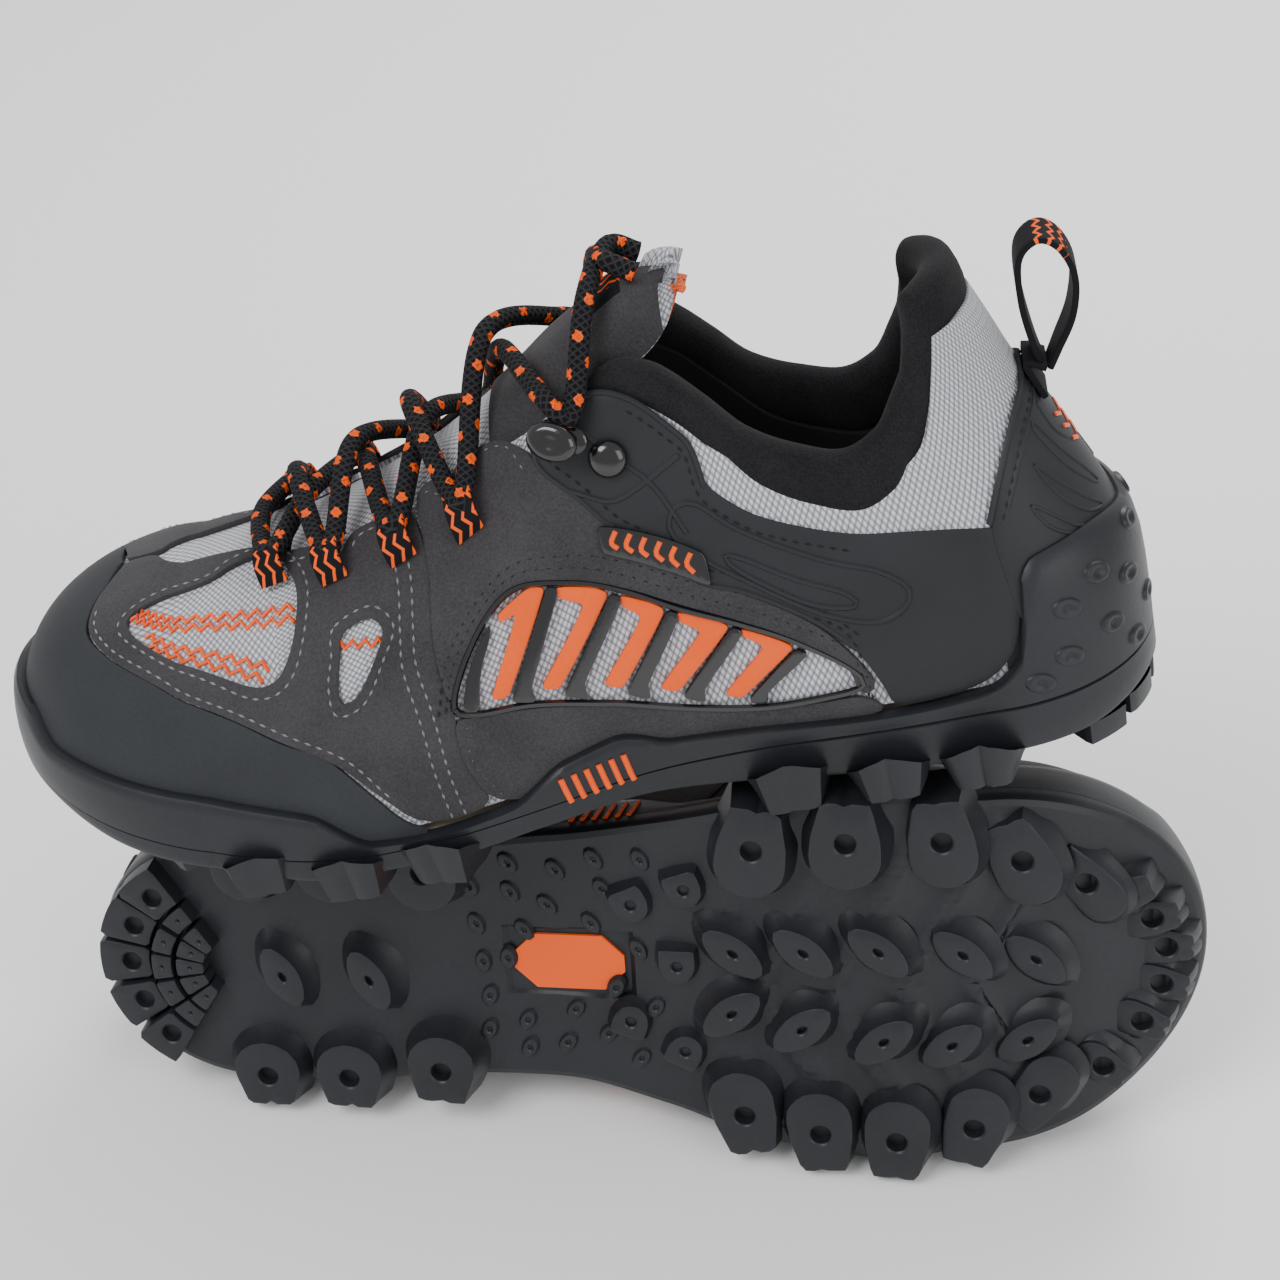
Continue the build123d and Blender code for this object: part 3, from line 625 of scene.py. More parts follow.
TOE_WINDOW = [(284, 66), (281, 73), (268, 79), (251, 81), (244, 86), (236, 87), (229, 80), (224, 68),
              (226, 54), (231, 44), (238, 42), (251, 49), (268, 58)]
SMALL_WINDOW = [(214, 51), (206, 52), (202, 47), (206, 41), (212, 34), (217, 33), (217, 38), (215, 45)]
SIDE_WINDOW = [(189, 24), (185, 31), (177, 37.5), (168, 39.5), (155, 34.5), (142, 28), (129, 21.5),
               (115, 17), (101, 13), (89, 8.5), (86, 5.5), (96, 4.5), (113, 4.5), (132, 7), (151, 12),
               (170, 18), (184, 21)]
VAMP_OUTLINE = [(204, 2), (214, 12.5), (222, 21), (234, 27.5), (244, 33.5), (256, 39.5), (269, 47.5),
                (287, 54.5), (300, 60), (308, 68), (317, 77), (329, 82), (339, 83), (338, 93), (300, 94),
                (255, 93.5), (238, 91), (234, 86), (229, 83.5), (222, 81), (215, 79), (213, 70), (209, 78),
                (200, 77), (192, 76), (187.5, 55), (189.4, 44), (190.6, 36), (189.4, 22), (189.4, 12),
                (184, 2)]
EYESTAY_OUTLINE = [(190, 76), (185, 77.5), (181, 72), (176, 76), (166, 73), (158, 63), (156, 57),
                   (149, 47.5), (141, 38), (133, 32), (122, 24), (111, 20.5), (96, 15.5), (87, 10), (82, 5),
                   (87, 4), (89, 9), (101, 13.5), (115, 17.5), (129, 22), (142, 28.5), (155, 35), (168, 40),
                   (177, 38), (185, 31.5), (190, 24), (191, 36), (190, 44), (188, 55)]
FOXING_OUTLINE = [(80, 1.0), (86, 4), (96, 3.9), (113, 3.9), (132, 6.5), (151, 11.5), (170, 17.5),
                  (184, 20.5), (190, 22), (190, 12), (184, 1.2), (150, 1), (110, 1)]

for suffix, turn in (("outer", list), ("inner", both_sides_of)):
    vamp = cut_sheet(f"vamp_overlay_{suffix}", turn(VAMP_OUTLINE), [turn(TOE_WINDOW), turn(SMALL_WINDOW)],
                     rounds=2)
    finish_piece(vamp, "shoe", ["vamp_overlay"] if suffix == "outer" else [], suede)
    eyestay = cut_sheet(f"eyestay_{suffix}", turn(EYESTAY_OUTLINE), rounds=2, lift=0.6)
    finish_piece(eyestay, "shoe", ["eyestay", "quarter_panel"] if suffix == "outer" else [], suede)
    foxing = cut_sheet(f"foxing_{suffix}", turn(FOXING_OUTLINE), rounds=2, lift=0.5)
    finish_piece(foxing, "shoe", ["lower_foxing"] if suffix == "outer" else [], suede)

# ---------------------------------------------------------------- toe cap
# Smooth dark nubuck from one side of the ball round the tip to the other.  It is cemented over the
# vamp and tucked under the rubber wall.
toe_nubuck = grained("toe_nubuck", (0.016, 0.018, 0.021), (0.036, 0.039, 0.044), 1200, 30, 0.72, 0.05,
                     sheen=0.04, speckle=0.25, shine=0.2)
TOE_CAP_LINE = smooth_curve(
    [203, 207, 216, 224, 234, 244, 256, 269, 287, 300, 308, 317, TOE_POINT],
    [0.01, 0.03, 0.13, 0.22, 0.27, 0.33, 0.39, 0.47, 0.54, 0.59, 0.67, 0.76, 0.82],
)


def mirrored_at_toe(curve):
    return lambda distance: curve(TOE_POINT - np.abs(TOE_POINT - np.asarray(distance)))


TOE_CAP_START = 203
toe_cap = lasted_sheet("toe_cap", TOE_CAP_START, 2 * TOE_POINT - TOE_CAP_START, 0.004,
                       mirrored_at_toe(TOE_CAP_LINE), 0.12, cell=1.6, rows=34)
use_modifier(toe_cap, "SOLIDIFY", thickness=1.5 * MM, offset=1)
use_modifier(toe_cap, "BEVEL", width=0.4 * MM, segments=2, limit_method="ANGLE",
             angle_limit=math.radians(50))
finish_piece(toe_cap, "shoe", ["toe_cap"], toe_nubuck)

# ---------------------------------------------------------------- ankle panel and heel cover
# Satin black moulded synthetic, pressed with raised lines.  The ankle panel runs from the hook back
# under the collar mesh, the heel cover cups the heel, and both are sewn on along a groove.
moulded = grained("moulded_synthetic", (0.009, 0.010, 0.012), (0.022, 0.023, 0.027), 2600, 35, 0.52, 0.03,
                  speckle=0.2, shine=0.3)


def smooth_path(points, step, closed=False):
    """Points at even steps along a rounded line through the given points, in any dimension."""
    points = np.array(points, dtype=float)
    if closed:
        points = np.vstack([points[-1], points, points[:2]])
    else:
        points = np.vstack([2 * points[0] - points[1], points, 2 * points[-1] - points[-2]])
    dense = []
    for i in range(1, len(points) - 2):
        t = np.linspace(0, 1, 16, endpoint=False)[:, None]
        p0, p1, p2, p3 = points[i - 1], points[i], points[i + 1], points[i + 2]
        dense.append(0.5 * (2 * p1 + (p2 - p0) * t + (2 * p0 - 5 * p1 + 4 * p2 - p3) * t**2
                            + (3 * p1 - p0 - 3 * p2 + p3) * t**3))
    dense = np.vstack(dense + [points[-2][None]])
    run = np.concatenate([[0], np.cumsum(np.linalg.norm(np.diff(dense, axis=0), axis=1))])
    count = max(3, int(run[-1] / step))
    stops = np.linspace(0, run[-1], count)
    return np.stack([np.interp(stops, run, dense[:, k]) for k in range(dense.shape[1])], axis=1)


def face_out(piece):
    """Closed pieces: every face turned away from the inside."""
    select_only(piece)
    bpy.ops.object.mode_set(mode="EDIT")
    bpy.ops.mesh.select_all(action="SELECT")
    bpy.ops.mesh.normals_make_consistent(inside=False)
    bpy.ops.object.mode_set(mode="OBJECT")


def tube(name, centre, radius, around=8, closed=False, flat=1.0, facing=None):
    """Tube along points in millimetres; radius may change along it, flat squeezes it."""
    centre = np.asarray(centre, dtype=float)
    ahead = np.roll(centre, -1, axis=0) - np.roll(centre, 1, axis=0)
    if not closed:
        ahead[0] = centre[1] - centre[0]
        ahead[-1] = centre[-1] - centre[-2]
    ahead /= np.linalg.norm(ahead, axis=1, keepdims=True) + 1e-9
    if facing is None:
        facing = np.zeros_like(centre)
        normal = np.cross(ahead[0], [0.3, 0.2, 1.0])
        for i, direction in enumerate(ahead):
            normal = normal - direction * (normal @ direction)
            normal /= np.linalg.norm(normal)
            facing[i] = normal
    side = np.cross(ahead, facing)
    side /= np.linalg.norm(side, axis=1, keepdims=True) + 1e-9
    out = np.cross(side, ahead)
    radius = np.broadcast_to(np.asarray(radius, dtype=float), (len(centre),))[:, None, None]
    turn = np.linspace(0, 2 * np.pi, around, endpoint=False)
    ring = side[:, None] * np.cos(turn)[None, :, None] + flat * out[:, None] * np.sin(turn)[None, :, None]
    points = (centre[:, None] + radius * ring).reshape(-1, 3)
    faces = grid_faces(len(centre), around, close_rows=closed, close_columns=True)
    if not closed:
        faces.append(tuple(range(around - 1, -1, -1)))
        last = (len(centre) - 1) * around
        faces.append(tuple(range(last, last + around)))
    step = np.linalg.norm(np.diff(centre, axis=0), axis=1)
    run = np.concatenate([[0], np.cumsum(step)])
    weave = np.stack([np.repeat(run, around), np.tile(turn, len(centre))], axis=-1)
    piece = mesh_piece(name, points, faces, weave)
    face_out(piece)
    return piece


def wall_normals(spots):
    first = lifted(wall_point, spots[:, 0], spots[:, 1] / 100, 0.0)
    return lifted(wall_point, spots[:, 0], spots[:, 1] / 100, 1.0) - first


def wall_tube(name, points, radius, lift, closed=False, flat=0.6, step=1.6):
    """Raised line on the upper."""
    spots = smooth_path(points, step, closed)
    centre = lifted(wall_point, spots[:, 0], spots[:, 1] / 100, lift)
    return tube(name, centre, radius, 6, closed, flat, wall_normals(spots))


ANKLE_OUTLINE = [(38, 18.6), (44, 16.5), (47, 7), (55, 2.5), (79, 1.3), (81, 5), (86, 10.8), (96, 15.8),
                 (111, 20.8), (122, 24), (133, 31.8), (141, 37.8), (149, 47.8), (155, 56), (156.5, 62),
                 (150, 65.5), (140, 63.5), (129, 56), (119, 47), (115.5, 43), (114.5, 36.5), (106, 31.5),
                 (97, 29), (81, 26), (66, 25), (51, 24), (41, 23)]
HEEL_OUTLINE = [(0, 41.5), (6, 40), (14, 38.5), (23, 36.5), (32, 33), (40, 28.5), (46, 24), (47, 18),
                (46, 9), (30, 6), (0, 6), (-30, 6), (-46, 9), (-47, 18), (-46, 24), (-40, 28.5), (-32, 33),
                (-23, 36.5), (-14, 38.5), (-6, 40)]
ANKLE_LINES = [
    [(145, 59), (136, 48), (128, 40), (122, 31)],
    [(150, 49), (140, 42), (130, 41), (119, 42.5)],
    [(124, 35), (118, 34.5), (108, 29), (90, 23.5), (76, 20.5), (70, 17), (78, 14), (92, 16), (108, 21.5),
     (120, 27), (126, 32)],
    [(112, 26), (98, 21.5), (86, 18.5), (84, 16.5), (94, 17.5), (106, 21.5), (113, 25)],
]
HEEL_LINES = [
    [(20, 33), (17, 27), (11, 22.5), (7, 21), (9, 23.5), (14, 28), (18, 33.5)],
    [(27, 29), (25, 24), (19, 20), (12, 19), (16, 21), (22, 25)],
    [(34, 24.5), (32, 21), (26, 18.5), (20, 18), (25, 19.5), (31, 23)],
    [(11, 35), (11.5, 31), (8, 28.5), (3, 27)],
]
for suffix, turn in (("outer", list), ("inner", both_sides_of)):
    panel = cut_sheet(f"ankle_panel_{suffix}", turn(ANKLE_OUTLINE), rounds=2, lift=0.2, thickness=1.6)
    marks = [wall_tube("mark", turn(line), 0.75, 1.85, closed=k > 1) for k, line in enumerate(ANKLE_LINES)]
    edge = wall_tube("edge", turn(ANKLE_OUTLINE[6:21]), 0.8, 1.8)
    whole = joined(f"ankle_panel_{suffix}", [panel, edge] + marks)
    finish_piece(whole, "shoe", ["ankle_panel"] if suffix == "outer" else [], moulded)

heel_cover = cut_sheet("heel_cover", HEEL_OUTLINE, rounds=2, lift=0.4, thickness=1.6)
heel_marks = []
for turn in (list, both_sides_of):
    for k, line in enumerate(HEEL_LINES):
        heel_marks.append(wall_tube("mark", turn(line), 0.5, 2.05, closed=k < 3))
    heel_marks.append(wall_tube("edge", turn(HEEL_OUTLINE[0:7]), 0.9, 2.0))
    heel_marks.append(wall_tube("edge", [(d, g - 3.2) for d, g in turn(HEEL_OUTLINE[1:6])], 0.6, 2.0))
finish_piece(joined("heel_cover", [heel_cover] + heel_marks), "shoe", ["heel_cover"], moulded)

# ---------------------------------------------------------------- side window
# A glossy moulded frame holds five slanted ribs over the mesh; behind each rib stands an orange
# printed bar with a short flag at its top.
gloss_black = grained("gloss_black", (0.004, 0.004, 0.005), (0.009, 0.009, 0.011), 300, 20, 0.16, 0.01,
                      coat=0.4, speckle=0.1, spread=0.03, shine=0.5)
orange_print = grained("orange_print", (0.78, 0.075, 0.004), (0.90, 0.12, 0.010), 900, 60, 0.42, 0.02,
                       speckle=0.3)


def crisp(points, corner=0.8):
    """The same outline with only its corners rounded."""
    loop = np.array(points, dtype=float)
    result = []
    for before, spot, after in zip(np.roll(loop, 1, axis=0), loop, np.roll(loop, -1, axis=0)):
        for other in (before, after):
            run = other - spot
            far = np.linalg.norm(run)
            result.append(tuple(spot + run * min(corner / far, 0.45)))
    return result


WINDOW_FLOOR = smooth_curve([89, 113, 132, 151, 170, 183], [5.2, 5.4, 8.6, 13.6, 19.2, 22])
WINDOW_CEILING = smooth_curve([89, 101, 115, 129, 142, 155, 168, 183],
                              [8, 12.2, 16.5, 21, 27.2, 34, 38.6, 33])


def in_window(distance, share):
    low, high = float(WINDOW_FLOOR(distance)), float(WINDOW_CEILING(distance))
    return (distance, low + (high - low) * share)


# foot of the bar (front, back), top of the bar (flag end, inner corner, back)
BARS = [
    (179.8, 175.2, 173.8, 168.6, 160.4),
    (167.0, 162.2, 158.2, 151.5, 145.0),
    (151.5, 146.5, 143.0, 137.8, 131.6),
    (137.6, 132.8, 129.5, 123.8, 116.4),
    (121.8, 117.0, 114.4, 108.6, 101.4),
]
for suffix, turn in (("outer", list), ("inner", both_sides_of)):
    ribs = [wall_tube("rim", turn(SIDE_WINDOW), 1.0, 1.5, closed=True, flat=1.0)]
    bars = []
    for foot_front, foot_back, flag, corner, top_back in BARS:
        bar = [in_window(foot_front, 0.07), in_window(foot_back, 0.05), in_window(top_back, 0.97),
               in_window((corner + top_back) / 2, 1.0), in_window(flag, 0.98), in_window(flag, 0.87),
               in_window(corner, 0.82)]
        bars.append(cut_sheet("bar", turn(crisp(bar)), lift=0.15, thickness=1.3, cell=0.8, rounds=1,
                              soften=0.2))
        rib = [in_window(foot_back - 0.3, 0.0), in_window(foot_back - 6.8, -0.04),
               in_window(foot_back - 6.0, 0.10), in_window(top_back - 3.4, 0.97),
               in_window(top_back - 0.3, 0.99)]
        ribs.append(cut_sheet("rib", turn(crisp(rib)), lift=0.15, thickness=2.1, cell=0.8, rounds=1,
                              soften=0.7))
    front = [(187.5, 22), (184, 29.5), (177, 36), (175.5, 35), (181, 28), (183, 21)]
    ribs.append(cut_sheet("rib", turn(front), lift=0.15, thickness=1.7, cell=0.9, rounds=1, soften=0.5))
    finish_piece(joined(f"window_ribs_{suffix}", ribs), "shoe", ["window_ribs"] if suffix == "outer" else [],
                 gloss_black)
    finish_piece(joined(f"window_bars_{suffix}", bars), "shoe", [], orange_print)

# ---------------------------------------------------------------- collar mesh
# A band of the silver mesh is sewn over the edge of the upper, from one ankle panel round the back
# to the other.
COLLAR_LOW = smooth_curve([36, 50, 80, 97, 106, 116], [0.22, 0.22, 0.24, 0.27, 0.29, 0.35])
COLLAR_HIGH = smooth_curve(
    [36, 45, 51, 61, 73, 83, 96, 105, 116],
    [0.53, 0.45, 0.39, 0.34, 0.32, 0.32, 0.35, 0.39, 0.45],
)
COLLAR_FRONT, COLLAR_BACK = 116, 36
collar_out = lasted_sheet("collar_out", COLLAR_BACK, COLLAR_FRONT, COLLAR_LOW, COLLAR_HIGH, 1.0, rows=16)
collar_in = lasted_sheet("collar_in", -COLLAR_FRONT, -COLLAR_BACK, lambda d: COLLAR_LOW(-d),
                         lambda d: COLLAR_HIGH(-d), 1.0, rows=16)
collar_back = lasted_sheet("collar_back", -COLLAR_BACK, COLLAR_BACK, 0.30,
                           lambda d: 0.55 - 0.02 * np.abs(d) / COLLAR_BACK, 1.0, rows=16)
collar_mesh = joined("collar_mesh", [collar_out, collar_in, collar_back])
use_modifier(collar_mesh, "SOLIDIFY", thickness=0.9 * MM, offset=-1)
finish_piece(collar_mesh, "shoe", ["collar_mesh"], silver_mesh)

# ---------------------------------------------------------------- collar roll
# A foam roll covered in black napped knit, sewn in along the top line from one hook round the heel
# to the other; it thins out towards its ends.
black_knit = grained("black_knit", (0.006, 0.006, 0.007), (0.020, 0.020, 0.022), 1900, 90, 0.95, 0.30,
                     sheen=0.04, speckle=0.9, shine=0.1)
ROLL_STEPS, ROLL_RING = 190, 22
ROLL_END = 146             # distance round the last to each end of the roll
roll_around = np.linspace(-ROLL_END, ROLL_END, ROLL_STEPS)
roll_turn = np.linspace(0, 2 * np.pi, ROLL_RING, endpoint=False)
fullness = np.clip((ROLL_END - np.abs(roll_around)) / 26, 0, 1) ** 0.5 * 0.65 + 0.35
top_girth = TOPLINE(np.abs(roll_around))
rise = np.where(np.sin(roll_turn) > 0, 0.030, 0.085)[None, :] * np.sin(roll_turn)[None, :]
ring_girth = top_girth[:, None] - 0.005 + fullness[:, None] * rise
ring_lift = -2.6 + fullness[:, None] * 4.8 * np.cos(roll_turn)[None, :]
roll_points = lifted(wall_point, np.repeat(roll_around, ROLL_RING), ring_girth.ravel(), ring_lift.ravel())
roll_faces = grid_faces(ROLL_STEPS, ROLL_RING, close_columns=True)
roll_faces.append(tuple(range(ROLL_RING - 1, -1, -1)))
roll_faces.append(tuple(range((ROLL_STEPS - 1) * ROLL_RING, ROLL_STEPS * ROLL_RING)))
collar_roll = mesh_piece("collar_roll", roll_points, roll_faces,
                         np.stack([np.repeat(roll_around, ROLL_RING), np.tile(roll_turn * 4, ROLL_STEPS)],
                                  axis=-1))
face_out(collar_roll)
finish_piece(collar_roll, "shoe", ["collar_roll"], black_knit)

# ---------------------------------------------------------------- tongue
# Padded tongue: mesh under the lacing, suede over its upper half, a mesh binding along the top
# edge and an orange lining towards the foot.  It is sewn in at the foot of the throat.
orange_lining = woven("orange_lining", (0.55, 0.07, 0.008), (0.95, 0.17, 0.025), 1.4, 0.75, 0.3)
TONGUE_REACH = smooth_curve([97, 99, 103, 110, 122, 136, 160, 216],
                            [0.30, 0.37, 0.43, 0.46, 0.47, 0.45, 0.44, 0.38])


def tongue_lift(extra):
    """The tongue falls back towards the foot above the lacing, most at its outer corners."""

    def lift(along, share):
        back = np.clip((142 - along) / 44, 0, 1)
        return extra - 1.9 - 12.0 * back**1.3 - 5.0 * back**0.5 * np.clip(np.abs(share) - 0.55, 0, 1) ** 1.2

    return lift


tongue = top_sheet("tongue", 98, 216, TONGUE_REACH, tongue_lift(0.0), cell=2.0)
use_modifier(tongue, "SOLIDIFY", thickness=4.0 * MM, offset=-1)
use_modifier(tongue, "BEVEL", width=0.8 * MM, segments=2, limit_method="ANGLE", angle_limit=math.radians(50))
finish_piece(tongue, "shoe", ["tongue"], silver_mesh)
tongue_suede = top_sheet("tongue_suede", 104, 156, lambda a: TONGUE_REACH(a) * 0.985, tongue_lift(0.1))
use_modifier(tongue_suede, "SOLIDIFY", thickness=1.0 * MM, offset=1)
finish_piece(tongue_suede, "shoe", [], suede)
tongue_lining = top_sheet("tongue_lining", 97.4, 200, lambda a: TONGUE_REACH(a) * 0.99,
                          tongue_lift(-4.1))
use_modifier(tongue_lining, "SOLIDIFY", thickness=1.0 * MM, offset=-1)
finish_piece(tongue_lining, "shoe", ["tongue_lining"], orange_lining)

# ---------------------------------------------------------------- lace
# Round braided black lace with orange flecks, through the webbing loops at the throat and round
# the hooks, with both ends tucked behind the tongue.
EYELET_ROWS = [163.0, 181.0, 200.0, 217.0]
LACE_EDGE = [0.40, 0.355, 0.31, 0.24]
LACE_LOW, LACE_HIGH, LACE_AT_LOOP = 4.8, 10.6, 5.4


def lace_spot(station, across, lift):
    return lifted(top_point, np.array(float(station)), np.array(float(across)), np.array(float(lift)))


lace_legs = []
for leg in (1, -1):
    crossing = LACE_LOW if leg > 0 else LACE_HIGH
    leg_points = [lace_spot(110, -leg * 0.10, -6.0), lace_spot(116, -leg * 0.04, 0.5),
                  lace_spot(122, leg * 0.20, 2.0),
                  lace_spot(130.5, leg * 0.44, 6.4), lace_spot(136, leg * 0.36, 6.4),
                  lace_spot(148, 0.0, crossing)]
    for row, station in enumerate(EYELET_ROWS):
        edge_side = -leg if row % 2 == 0 else leg
        leg_points.append(lace_spot(station - 2, edge_side * LACE_EDGE[row], LACE_AT_LOOP))
        leg_points.append(lace_spot(station + 2, edge_side * LACE_EDGE[row], LACE_AT_LOOP))
        if row < 3:
            leg_points.append(lace_spot((station + EYELET_ROWS[row + 1]) / 2, 0.0, crossing))
    lace_legs.append(leg_points)
lace_points = lace_legs[0] + [lace_spot(223, 0.0, LACE_LOW)] + lace_legs[1][::-1]
lace_path = smooth_path(lace_points, 1.3)
lace = tube("lace", lace_path, 2.6, 14)

lace_cord = bpy.data.materials.new("lace_cord")
lace_cord.use_nodes = True
lace_tree = lace_cord.node_tree
lace_shader = lace_tree.nodes["Principled BSDF"]
lace_split = lace_tree.nodes.new("ShaderNodeSeparateXYZ")
lace_tree.links.new(attribute_node(lace_tree, "weave"), lace_split.inputs[0])
lace_run, lace_turn = lace_split.outputs["X"], lace_split.outputs["Y"]
twist_a = math_node(lace_tree, "SINE", math_node(lace_tree, "MULTIPLY_ADD", lace_run, 3.2, math_node(
    lace_tree, "MULTIPLY", lace_turn, 6.0)))
twist_b = math_node(lace_tree, "SINE", math_node(lace_tree, "MULTIPLY_ADD", lace_run, 3.2, math_node(
    lace_tree, "MULTIPLY", lace_turn, -6.0)))
braid = math_node(lace_tree, "MAXIMUM", twist_a, twist_b)
fleck_a = math_node(lace_tree, "SINE", math_node(lace_tree, "MULTIPLY_ADD", lace_run, 0.78, lace_turn))
fleck_b = math_node(lace_tree, "SINE", math_node(lace_tree, "MULTIPLY_ADD", lace_run, 0.52, math_node(
    lace_tree, "MULTIPLY", lace_turn, -2.0)))
fleck_mask = math_node(lace_tree, "GREATER_THAN", math_node(lace_tree, "ADD", fleck_a, math_node(
    lace_tree, "ADD", fleck_b, math_node(lace_tree, "MULTIPLY", braid, 0.25))), 1.42)
braid_shade = mix_colors(lace_tree, braid, (0.004, 0.004, 0.005), (0.022, 0.022, 0.025))
lace_tree.links.new(mix_colors(lace_tree, fleck_mask, braid_shade, (0.85, 0.10, 0.006)),
                    lace_shader.inputs["Base Color"])
lace_bump = lace_tree.nodes.new("ShaderNodeBump")
lace_bump.inputs["Distance"].default_value = 0.3 * MM
lace_tree.links.new(braid, lace_bump.inputs["Height"])
lace_tree.links.new(lace_bump.outputs["Normal"], lace_shader.inputs["Normal"])
lace_shader.inputs["Roughness"].default_value = 0.8
lace_shader.inputs["Specular IOR Level"].default_value = 0.15
finish_piece(lace, "shoe", ["lace"], lace_cord, smooth=70)

# ---------------------------------------------------------------- lace loops
# Short lengths of black webbing with an orange zigzag, folded round the lace and sewn under the
# edge of the eyestay.
webbing = bpy.data.materials.new("zigzag_webbing")
webbing.use_nodes = True
web_tree = webbing.node_tree
web_shader = web_tree.nodes["Principled BSDF"]
web_split = web_tree.nodes.new("ShaderNodeSeparateXYZ")
web_tree.links.new(attribute_node(web_tree, "weave"), web_split.inputs[0])
wave = math_node(web_tree, "PINGPONG", web_split.outputs["X"], 2.2)
lines = math_node(web_tree, "PINGPONG", math_node(web_tree, "MULTIPLY_ADD", wave, 0.6,
                                                  web_split.outputs["Y"]), 1.5)
web_mask = math_node(web_tree, "MULTIPLY", math_node(web_tree, "LESS_THAN", lines, 0.42), math_node(
    web_tree, "LESS_THAN", math_node(web_tree, "ABSOLUTE", web_split.outputs["Y"]), 4.6))
web_tree.links.new(mix_colors(web_tree, web_mask, (0.006, 0.006, 0.008), (0.85, 0.10, 0.006)),
                   web_shader.inputs["Base Color"])
web_shader.inputs["Roughness"].default_value = 0.8
web_shader.inputs["Specular IOR Level"].default_value = 0.15

loops = []
for row, station in enumerate(EYELET_ROWS):
    for edge_side in (1, -1):
        across = edge_side * np.linspace(LACE_EDGE[row] + 0.105, LACE_EDGE[row] - 0.03, 12)
        strip = []
        for offset in (-3.6, 3.6):
            lift = 2.2 + 5.6 * np.sin(np.linspace(0, np.pi, 12)) ** 0.8
            strip.append(lifted(top_point, np.full(12, station + offset), across, lift))
        weave = np.stack([np.tile(np.linspace(0, 16, 12), 2), np.repeat([-3.6, 3.6], 12)], axis=-1)
        loop = mesh_piece("loop", np.concatenate(strip), grid_faces(2, 12), weave)
        use_modifier(loop, "SOLIDIFY", thickness=1.0 * MM, offset=0)
        loops.append(loop)
finish_piece(joined("lace_loops", loops), "shoe", ["lace_loops"], webbing)

# ---------------------------------------------------------------- lace hooks and rivets
# Glossy black moulded hooks, riveted through the ankle panel; a domed rivet head sits under each.


def fitting(name, around, girth, lift, shape):
    """Small moulded part standing on the upper: rings of (radius, height, stretch, shift)."""
    spot = np.array([[float(around), float(girth)]])
    base = lifted(wall_point, spot[:, 0], spot[:, 1], lift)[0]
    out = lifted(wall_point, spot[:, 0], spot[:, 1], lift + 1.0)[0] - base
    side = np.cross(out, [0.35, 0, -1.0])
    side /= np.linalg.norm(side)
    upward = np.cross(out, side)
    turn = np.linspace(0, 2 * np.pi, 28, endpoint=False)
    points = []
    for radius, height, stretch, shift in shape:
        ring = side * (radius * stretch * np.cos(turn)[:, None] + shift) + upward * radius * np.sin(turn)[:,
            None]
        points.append(base + ring + out * height)
    faces = grid_faces(len(shape), 28, close_columns=True)
    faces.append(tuple(range(27, -1, -1)))
    faces.append(tuple(range((len(shape) - 1) * 28, len(shape) * 28)))
    piece = mesh_piece(name, np.concatenate(points), faces)
    face_out(piece)
    return piece


hook_shape = [(4.2, 0.0, 1.6, 0), (4.4, 0.8, 1.6, 0), (3.9, 1.4, 1.6, 0), (2.4, 1.8, 1.0, -2),
              (2.2, 5.8, 1.0, -2),
              (4.2, 6.6, 1.3, -0.5), (4.9, 7.8, 1.35, 0.2), (4.7, 9.0, 1.35, 0.2), (3.4, 9.9, 1.3, 0.2),
              (1.6, 9.5, 1.2, 0.2), (0.4, 9.3, 1.0, 0.2)]
rivet_shape = [(4.8, 0.0, 1, 0), (5.0, 0.8, 1, 0), (4.6, 1.9, 1, 0), (3.6, 2.7, 1, 0), (2.2, 3.1, 1, 0),
               (0.5, 3.2, 1, 0)]
hooks = [fitting("hook", side * 149, 0.60, 1.9, hook_shape) for side in (1, -1)]
finish_piece(joined("lace_hooks", hooks), "shoe", ["lace_hooks"], gloss_black, smooth=60)
rivets = [fitting("rivet", side * 138, 0.49, 1.9, rivet_shape) for side in (1, -1)]
finish_piece(joined("rivets", rivets), "shoe", ["rivets"], gloss_black, smooth=60)

# ---------------------------------------------------------------- wall studs and printed bars
# Small ring-shaped rubber studs stand on the heel wall.  Plain orange bars are printed on the waist
# of the sole and on the heel cover.
rubber = grained("outsole_rubber", (0.007, 0.008, 0.010), (0.018, 0.020, 0.025), 700, 35, 0.44, 0.05,
                 speckle=0.3, spread=0.1, shine=0.35)
SKIN_LIFT = 1.9
RAND_WALL = 2.8
stud_shape = [(3.0, -0.6, 1.5, 0), (2.6, 0.5, 1.5, 0), (2.2, 0.75, 1.5, 0), (1.5, 0.7, 1.4, 0),
              (0.9, 0.1, 1.2, 0), (0.3, 0.05, 1.0, 0)]
STUDS = [(9, 0.155), (17, 0.105), (27, 0.135), (25, 0.06), (36, 0.11), (37, 0.045), (8, 0.05), (44, 0.02),
         (17, 0.015)]
studs = [fitting("stud", side * d, g, SKIN_LIFT + RAND_WALL - 0.1, stud_shape) for d,
         g in STUDS for side in (1, -1)]
finish_piece(joined("wall_studs", studs), "shoe", [], rubber, smooth=60)
waist_bars = []
for turn in (list, both_sides_of):
    for k in range(6):
        foot = 149 + 3.4 * k
        waist_bars.append(wall_tube("bar", turn([(foot, -1.5), (foot + 1.4, 3.8)]), 0.8,
                                    SKIN_LIFT + RAND_WALL + 0.2, step=0.8))
heel_mark = [wall_tube("bar", turn([(5.5, 31.5 - 2.0 * k), (1.2, 30.5 - 2.0 * k)]), 0.6, 2.2, step=0.6)
             for k in range(3) for turn in (list, both_sides_of)]
finish_piece(joined("printed_bars", waist_bars + heel_mark), "shoe", [], orange_print)

